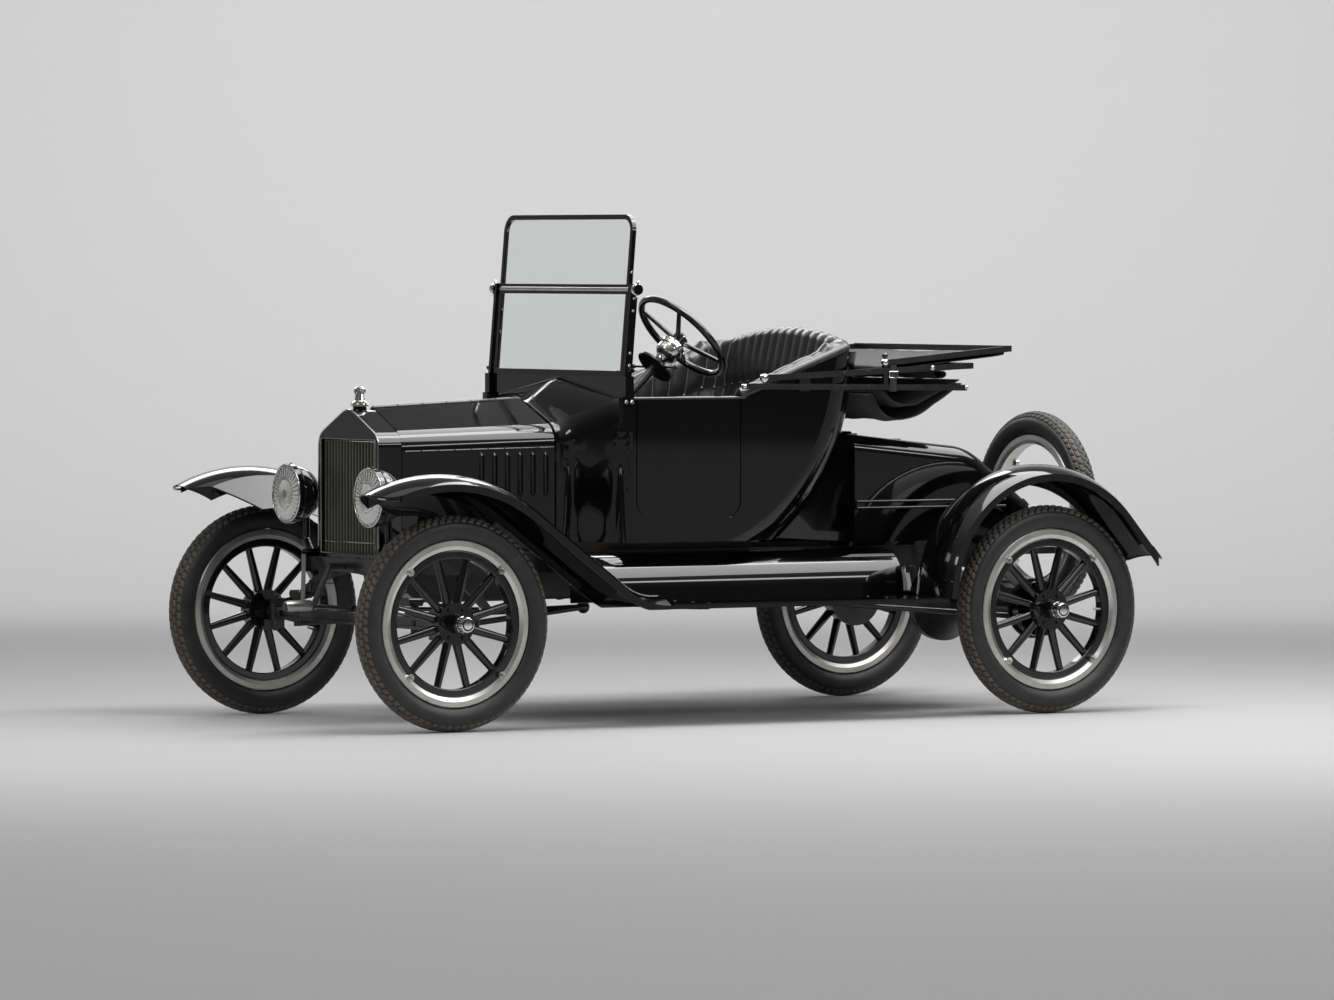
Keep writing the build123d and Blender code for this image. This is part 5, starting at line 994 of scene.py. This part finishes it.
UPPER_FOLD = (
    (2300, 1296), (1968, 1272), (1946, 1282), (1956, 1300), (2474, 1347),
    (2488, 1338), (2470, 1326), (2010, 1284), (1992, 1280),
)
BAG_FOLD = ((1902, 1188), (1925, 1138), (1985, 1102), (2050, 1092), (2110, 1104), (2190, 1162), (2296, 1226))
INNER_FOLD = ((1960, 1196), (2010, 1150), (2080, 1140), (2150, 1172), (2230, 1216), (2286, 1240))
ROLL_AT = (2205, 1262)
ROLL_TAIL = [(2090, 1274), (2150, 1286)]
ROLL_ANGLES = [2.6 * pi * k / 60 for k in range(8, 61)]


def add_folded_top():
    """The folded top's cloth: a slab over the upper bow, a bag with an inner fold, and a roll between."""
    upper, flat = cloth("top_upper_cloth", UPPER_FOLD, 512, 3, 1.6, 0.4)
    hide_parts("top_fabric")
    bag, flat = cloth("top_bag_cloth", BAG_FOLD, 508, 5, 4.0, 1.7)
    inner, flat = cloth("top_inner_cloth", INNER_FOLD, 506, 4, 4.5, 3.1)
    s, z = ROLL_AT
    spiral = [(s + (44 - 3.4 * a) * cos(a), z + (26 - 2.1 * a) * sin(a)) for a in ROLL_ANGLES]
    roll, flat = cloth("top_roll_cloth", ROLL_TAIL + spiral, 507, 0, 1.2, 5.2)


IRON_Y = 524
IRON_ENDS = ((1420, 1252, 15), (1334, 1222, 9), (1944, 1306, 12), (2300, 1211, 9), (2150, 1284, 10))
IRON_POST = ((7, 0), (6, 20), (12, 30), (12, 36), (5, 42))
IRON_BOLTS = ((1760, 1217), (1868, 1216), (1868, 1272), (1760, 1267))
STRAP_S = (1962, 1990)
STRAP_WALLS = (
    (519, 522, 1196, 1300), (534, 536.5, 1196, 1300), (519, 536.5, 1196, 1198.5), (519, 536.5, 1297.5, 1300)
)
BUCKLE = ((1958, 1250), (1994, 1250), (1994, 1272), (1958, 1272))


def add_top_fittings():
    """Round ends, posts and bolts on the top's irons, and a buckled strap round them on each side."""
    irons = Piece()
    strap = Piece()
    for sign in SIDES.values():
        out = (0, sign, 0)
        for s, z, r in IRON_ENDS:
            knob = [(r, 0), (r, 14), (r * 0.7, 17), (r * 0.2, 18)]
            irons.lathe(spot(s, sign * (IRON_Y - 4), z), out, knob, 22)
        irons.lathe(spot(1944, sign * (IRON_Y + 4), 1300), (0, 0, 1), IRON_POST, 18, 1)
        for s, z in IRON_BOLTS:
            irons.bolt(spot(s, sign * (IRON_Y + 11), z), out, 6, 4, 1)
        for near, far, low, high in STRAP_WALLS:
            strap.brick(*STRAP_S, *sorted((sign * near, sign * far)), low, high)
        strap.tube([spot(s, sign * 537.5, z) for s, z in BUCKLE], 2.2, 8, 1, closed=True)
    irons.build("top_iron_fittings", ("nickel", "chassis_black"))
    strap.build("top_straps", ("seat_leather", "nickel"))


# Fenders, boards and small fittings

TIP_STEPS = 11
TIP_INSET = 4.6
WIRE_SINK = 2
LIP_DROP = 12


def fender_height(path, station):
    """Height of a fender's path at a station, from the path's own points."""
    return float(np.interp(station, [s for s, _ in path], [z for _, z in path]))


def fender_crown(y):
    """How far the fender's skin rises above its edges, at a distance across the car."""
    middle = ((FENDER_IN_Y + FENDER_OUT_Y) / 2, FENDER_RISE)
    (cy, cz), radius = circle_through((FENDER_IN_Y, 0), middle, (FENDER_OUT_Y, 0))
    return cz + sqrt(radius**2 - (y - cy) ** 2)


def front_fender_path():
    """The front fender's edge: an arc, a straight slope and a sweep that runs level into the board."""
    arc = arc_points(*FRONT_FENDER, 40)
    (cs, cz), _ = circle_through(*FRONT_FENDER)
    s, z = FRONT_FENDER[2]
    turn = atan2(s - cs, z - cz)
    down = (cos(turn), -sin(turn))
    to_corner = (BOARD_Z - z) / down[1]
    corner = s + down[0] * to_corner
    leg = 0.95 * min(BOARD_FRONT - corner, to_corner)
    radius = leg / tan(turn / 2)
    sweep = []
    for k in range(17):
        a = turn * (1 - k / 16)
        sweep.append((corner + leg - radius * sin(a), BOARD_Z + radius * (1 - cos(a))))
    return arc + sweep + [(BOARD_FRONT - 1, BOARD_Z)]


def rear_fender_path():
    """The rear fender's edge: straight up from the board, round its arc, and straight on to its end."""
    (cs, cz), _ = circle_through(*REAR_FENDER)
    path = arc_points(*REAR_FENDER, 40)
    s, z = path[0]
    up = (z - cz, cs - s)
    foot_z = BOARD_Z + 6
    foot = (s + up[0] * (foot_z - z) / up[1], foot_z)
    s, z = path[-1]
    down = (z - cz, cs - s)
    drop = REAR_END_Z - z
    ends = [(s + down[0] * drop / down[1] * t, z + drop * t) for t in np.linspace(0.1, 1, 10)]
    return [foot] + path + ends


def rear_tail(path):
    """Places round the rear fender's end, from its outer lip up over its crown to the inner edge."""
    (s0, z0), (s1, z1) = path[-2:]
    reach = hypot(s1 - s0, z1 - z0)
    ds, dz = (s1 - s0) / reach, (z1 - z0) / reach
    across = np.linspace(FENDER_EDGE_Y, FENDER_IN_Y + 4, 24)
    line = [(FENDER_EDGE_Y, -LIP_DROP)] + [(y, fender_crown(y) - WIRE_SINK) for y in across]
    tail = []
    for y, rise in line:
        s, z = s1 - dz * rise, z1 + ds * rise
        past = max(y - (FENDER_EDGE_Y - REAR_TIP_R), 0)
        limit = REAR_TIP_FROM + sqrt(max(REAR_TIP_R**2 - past**2, 0))
        back = max(s - limit, 0) / ds
        tail.append((s - ds * back, y, z - dz * back))
    return tail


def rear_tip_y(station):
    """Distance across the car of the rear fender's wired edge, drawn in round its rounded end."""
    past = min(max(station - REAR_TIP_FROM, 0), REAR_TIP_R)
    return FENDER_EDGE_Y - REAR_TIP_R + sqrt(REAR_TIP_R**2 - past**2)


def edge_line(path, drop):
    """A line a set distance inside a fender's path."""
    line = []
    for k, (s, z) in enumerate(path):
        s0, z0 = path[max(k - 1, 0)]
        s1, z1 = path[min(k + 1, len(path) - 1)]
        length = hypot(s1 - s0, z1 - z0)
        line.append((s + (z1 - z0) / length * drop, z - (s1 - s0) / length * drop))
    return line


def skirt_nose(sign):
    """Sections of the strip that tapers each front fender's inner skirt into its rounded tip."""
    rows = []
    for t in np.linspace(0, 1, 13):
        a = radians(SKIRT_TURN[0] + (SKIRT_TURN[1] - SKIRT_TURN[0]) * t)
        top = SKIRT_TOP[0] + (SKIRT_TOP[1] - SKIRT_TOP[0]) * t * t
        low = top - SKIRT_DEPTH * (1 - t) ** 1.4 - 3
        corners = []
        for radius, z in ((TIP_R, top), (TIP_R, low), (TIP_R - SKIRT_T, low), (TIP_R - SKIRT_T, top)):
            s = FRONT_TIP + TIP_R - radius * sin(a)
            corners.append(spot(s, sign * (FENDER_IN_Y + TIP_R - radius * cos(a)), z))
        rows.append(corners)
    return rows


def front_tip(path):
    """Places of the wire round the front fender's tip, from its outer side inwards."""
    tip = []
    for k in range(TIP_STEPS + 1):
        a = pi / 2 * k / TIP_STEPS
        s = FRONT_TIP + TIP_R * (1 - sin(a))
        y = FENDER_OUT_Y - TIP_R * (1 - cos(a)) - TIP_INSET
        rise = fender_crown(y)
        drop = WIRE_SINK + (WIRE_DROP - WIRE_SINK) * (1 - k / TIP_STEPS)
        tip.append((s + 2, y, fender_height(path, s + 0.4 * rise) + 0.9 * rise - drop))
    return tip


def add_fender_edges():
    """Wired edges along the fenders' outer lips and round their tips, and the inner skirts' noses."""
    edges = Piece()
    path = front_fender_path()
    lowest = BOARD_Z - BOARD_T + 3
    lip = [(s, max(z, lowest)) for s, z in edge_line(path, WIRE_DROP) if s > FRONT_TIP + TIP_R]
    front_lip = front_tip(path)[::-1] + [(s, FENDER_EDGE_Y, z) for s, z in lip]
    rear = rear_fender_path()
    rear_lip = [(s, rear_tip_y(s), z) for s, z in edge_line(rear, WIRE_DROP)] + rear_tail(rear)
    for sign in SIDES.values():
        edges.tube([spot(s, sign * y, z) for s, y, z in front_lip], 4.2, 8)
        edges.loft(skirt_nose(sign))
        edges.tube([spot(s, sign * y, z) for s, y, z in rear_lip], 4.4, 8)
    edges.build("fender_edges", ("black_enamel",))


BOARD_BOLT = ((8, 0), (7, 2.5), (3, 4), (0.1, 4.4))
BOARD_BOLT_S = (1018, 1850)
BOARD_BOLT_Y = (560, 690, 800)


def add_board_trim():
    """Carriage bolts through the running boards into their brackets."""
    trim = Piece()
    for sign in SIDES.values():
        for s in BOARD_BOLT_S:
            for y in BOARD_BOLT_Y:
                trim.lathe(spot(s, sign * y, BOARD_Z + 2), (0, 0, 1), BOARD_BOLT, 14)
    trim.build("board_bolts", ("black_enamel",))


SPRING_CLIPS = ((0, 190, 520), (0, 300, 487), (WHEELBASE, 210, 512), (WHEELBASE, 350, 478))
CLIP_HALF = 26
CLAMP_NUT = (30, 70, 595)


def add_spring_clips():
    """Clips round the springs' leaves and nuts on the front spring's clamps."""
    clips = Piece()
    for station, half, z in SPRING_CLIPS:
        for y in (-half, half):
            for s in (station - CLIP_HALF, station + CLIP_HALF - 4):
                clips.brick(s, s + 4, y - 9, y + 9, z - 16, z + 24)
            clips.brick(station - CLIP_HALF, station + CLIP_HALF, y - 9, y + 9, z - 19, z - 16)
    nut_s, nut_y, nut_z = CLAMP_NUT
    for y in (-nut_y, nut_y):
        for s in (-nut_s, nut_s):
            clips.bolt(spot(s, y, nut_z), (0, 0, 1), 9, 9)
    clips.build("spring_clips", ("spring_steel",))


CRANK_SLEEVE = ((17, 0), (20, 6), (21, 50), (20, 98), (17, 108), (10, 112))
CRANK_GRIP_AT = (-112, -130, 425)
CRANK_STRAP = ((-150, -130, 442), (-128, -166, 490), (-100, -214, 550), (-74, -262, 608))
CRANK_STRAP_EDGES = ((0, -14, 0), (0, 14, 0), (3, 14, -1), (3, -14, -1))


def add_crank_grip():
    """Sleeve on the starting handle and the strap that holds it up."""
    grip = Piece()
    grip.lathe(spot(*CRANK_GRIP_AT), (1, 0, 0), CRANK_SLEEVE, 24)
    rows = [[spot(s + ds, y + dy, z + dz) for ds, dy, dz in CRANK_STRAP_EDGES] for s, y, z in CRANK_STRAP]
    grip.loft(rows, 1)
    grip.build("crank_grip", ("rim_zinc", "strap_webbing"))


GEAR_CASE = ((45, 0), (46.5, 4), (46.5, 48), (44, 54), (30, 66), (22, 84))
GEAR_SCREW_RING = 47
HUB_NUT = ((31, 0), (30, 4), (20, 7), (14, 8), (14, 16), (8, 19))


def column_spot(distance, across=0, lift=0):
    """A place along the steering column, measured down from the wheel's centre."""
    a = radians(COLUMN_ANGLE)
    s, y, z = WHEEL_CENTRE
    s = s - distance * cos(a) - lift * sin(a)
    z = z - distance * sin(a) + lift * cos(a)
    return spot(s, y + across, z)


def add_steering_trim():
    """Bright gear case with its screws under the wheel, and the nut on the hub."""
    case = Piece()
    down = column_spot(100) - column_spot(0)
    case.lathe(column_spot(44), down, GEAR_CASE, 36)
    for a in turns(6):
        case.ball(column_spot(50, GEAR_SCREW_RING * cos(a), GEAR_SCREW_RING * sin(a)), 5, 0, 10)
    case.build("steering_case", ("nickel",))
    hub = Piece()
    hub.lathe(column_spot(8), -down, HUB_NUT, 8)
    hub.build("steering_hub_nut", ("nickel",), "steering_wheel")


DECK_TOP = (1878, 1040)
DECK_FALL = -55 / 522
LID_ENDS = ((1985, -6), (2385, 6))
LID_SIDES = (-290, 290)
LID_BEAD_R = 3.4
DECK_BEADS = (765, 789)
DECK_BEAD_S = (1884, 2540)
DECK_BEAD_Y = 431


def deck_top(station):
    """Height of the deck's sloping top."""
    return DECK_TOP[1] + (station - DECK_TOP[0]) * DECK_FALL


def add_deck_trim():
    """Raised bead round the deck lid's opening, and two beads along each of the deck's sides."""
    trim = Piece()
    for s, out in LID_ENDS:
        trim.tube([spot(s + out, y, deck_top(s)) for y in LID_SIDES], LID_BEAD_R, 8)
    for y in LID_SIDES:
        trim.tube([spot(s + out, y, deck_top(s + out)) for s, out in LID_ENDS], LID_BEAD_R, 8)
    for sign in SIDES.values():
        for z in DECK_BEADS:
            trim.tube([spot(s, sign * DECK_BEAD_Y, z) for s in DECK_BEAD_S], 5, 10)
    trim.build("deck_lid_bead", ("black_enamel",))


# Stage


def add_stage():
    """A pale floor that turns up into a backdrop, clear from its back, so that other views see through."""
    yaw = radians(CAMERA_YAW)
    away = Vector((cos(yaw), sin(yaw), 0))
    across = Vector((-away.y, away.x, 0))
    profile = [(-FLOOR_FRONT, 0)]
    for k in range(WALL_STEPS + 1):
        a = pi / 2 * k / WALL_STEPS
        profile.append((WALL_AT + WALL_TURN * sin(a), WALL_TURN * (1 - cos(a))))
    profile.append((WALL_AT + WALL_TURN, WALL_TOP))
    ends = (-FLOOR_HALF_W, FLOOR_HALF_W)
    sweep = Piece()
    sweep.grid([[away * d + across * w + Vector((0, 0, h)) for w in ends] for d, h in profile])
    mesh = sweep.mesh("studio_sweep", (), 180)
    material, tree, bsdf = shader("sweep_paint")
    put(bsdf, {"Base Color": (*FLOOR_COLOUR, 1), "Roughness": 0.8})
    side = tree.nodes.new("ShaderNodeNewGeometry")
    clear = tree.nodes.new("ShaderNodeBsdfTransparent")
    mix = tree.nodes.new("ShaderNodeMixShader")
    tree.links.new(side.outputs["Backfacing"], mix.inputs["Fac"])
    tree.links.new(bsdf.outputs["BSDF"], mix.inputs[1])
    tree.links.new(clear.outputs["BSDF"], mix.inputs[2])
    tree.links.new(mix.outputs["Shader"], tree.nodes["Material Output"].inputs["Surface"])
    mesh.materials.append(material)
    obj = add_object("studio_sweep", mesh)


def add_lamp(name, at, aim, size, power, shine_only=False):
    data = bpy.data.lights.new(name, "AREA")
    data.shape = "RECTANGLE"
    data.size, data.size_y = size
    data.energy = power
    lamp = add_object(name, data)
    lamp.location = at
    lamp.visible_diffuse = not shine_only
    lamp.rotation_euler = (Vector(aim) - Vector(at)).to_track_quat("-Z", "Y").to_euler()


def add_world():
    """Soft light, bright overhead and falling off towards the horizon, as under a lit ceiling."""
    world = bpy.data.worlds.new("studio")
    bpy.context.scene.world = world
    world.use_nodes = True
    tree = world.node_tree
    place = tree.nodes.new("ShaderNodeTexCoord")
    split = tree.nodes.new("ShaderNodeSeparateXYZ")
    tree.links.new(place.outputs["Generated"], split.inputs["Vector"])
    sky = tree.nodes.new("ShaderNodeValToRGB")
    stops = sky.color_ramp.elements
    for _ in SKY[2:]:
        stops.new(0.5)
    for stop, (height, level) in zip(stops, SKY):
        stop.position = height
        stop.color = (level, level, level, 1)
    tree.links.new(split.outputs["Z"], sky.inputs["Fac"])
    tree.links.new(sky.outputs["Color"], tree.nodes["Background"].inputs["Color"])


def add_camera():
    data = bpy.data.cameras.new("photo_camera")
    data.sensor_fit = "HORIZONTAL"
    data.sensor_width = SENSOR
    data.lens = FOCAL_PX * SENSOR / PHOTO_W
    data.clip_end = CAMERA_FAR
    camera = add_object("photo_camera", data)
    yaw, pitch = radians(CAMERA_YAW), radians(CAMERA_PITCH)
    forward = Vector((cos(pitch) * cos(yaw), cos(pitch) * sin(yaw), sin(pitch)))
    turn = forward.to_track_quat("-Z", "Y").to_matrix().to_4x4()
    roll = Matrix.Rotation(radians(CAMERA_ROLL), 4, "Z")
    camera.matrix_world = Matrix.Translation(CAMERA_AT) @ turn @ roll
    bpy.context.scene.camera = camera


bpy.context.scene.view_settings.view_transform = "Standard"
add_tyres()
add_wheel_trim()
add_lamps()
add_radiator_trim()
add_hood_trim()
add_windshield_trim()
add_body_trim()
add_seat_back()
add_seat_cushion()
add_folded_top()
add_top_fittings()
add_fender_edges()
add_board_trim()
add_spring_clips()
add_crank_grip()
add_steering_trim()
add_deck_trim()
add_stage()
add_world()
for lamp_name, lamp_row in LAMPS.items():
    add_lamp(lamp_name, **lamp_row)
add_camera()

bpy.context.view_layer.update()
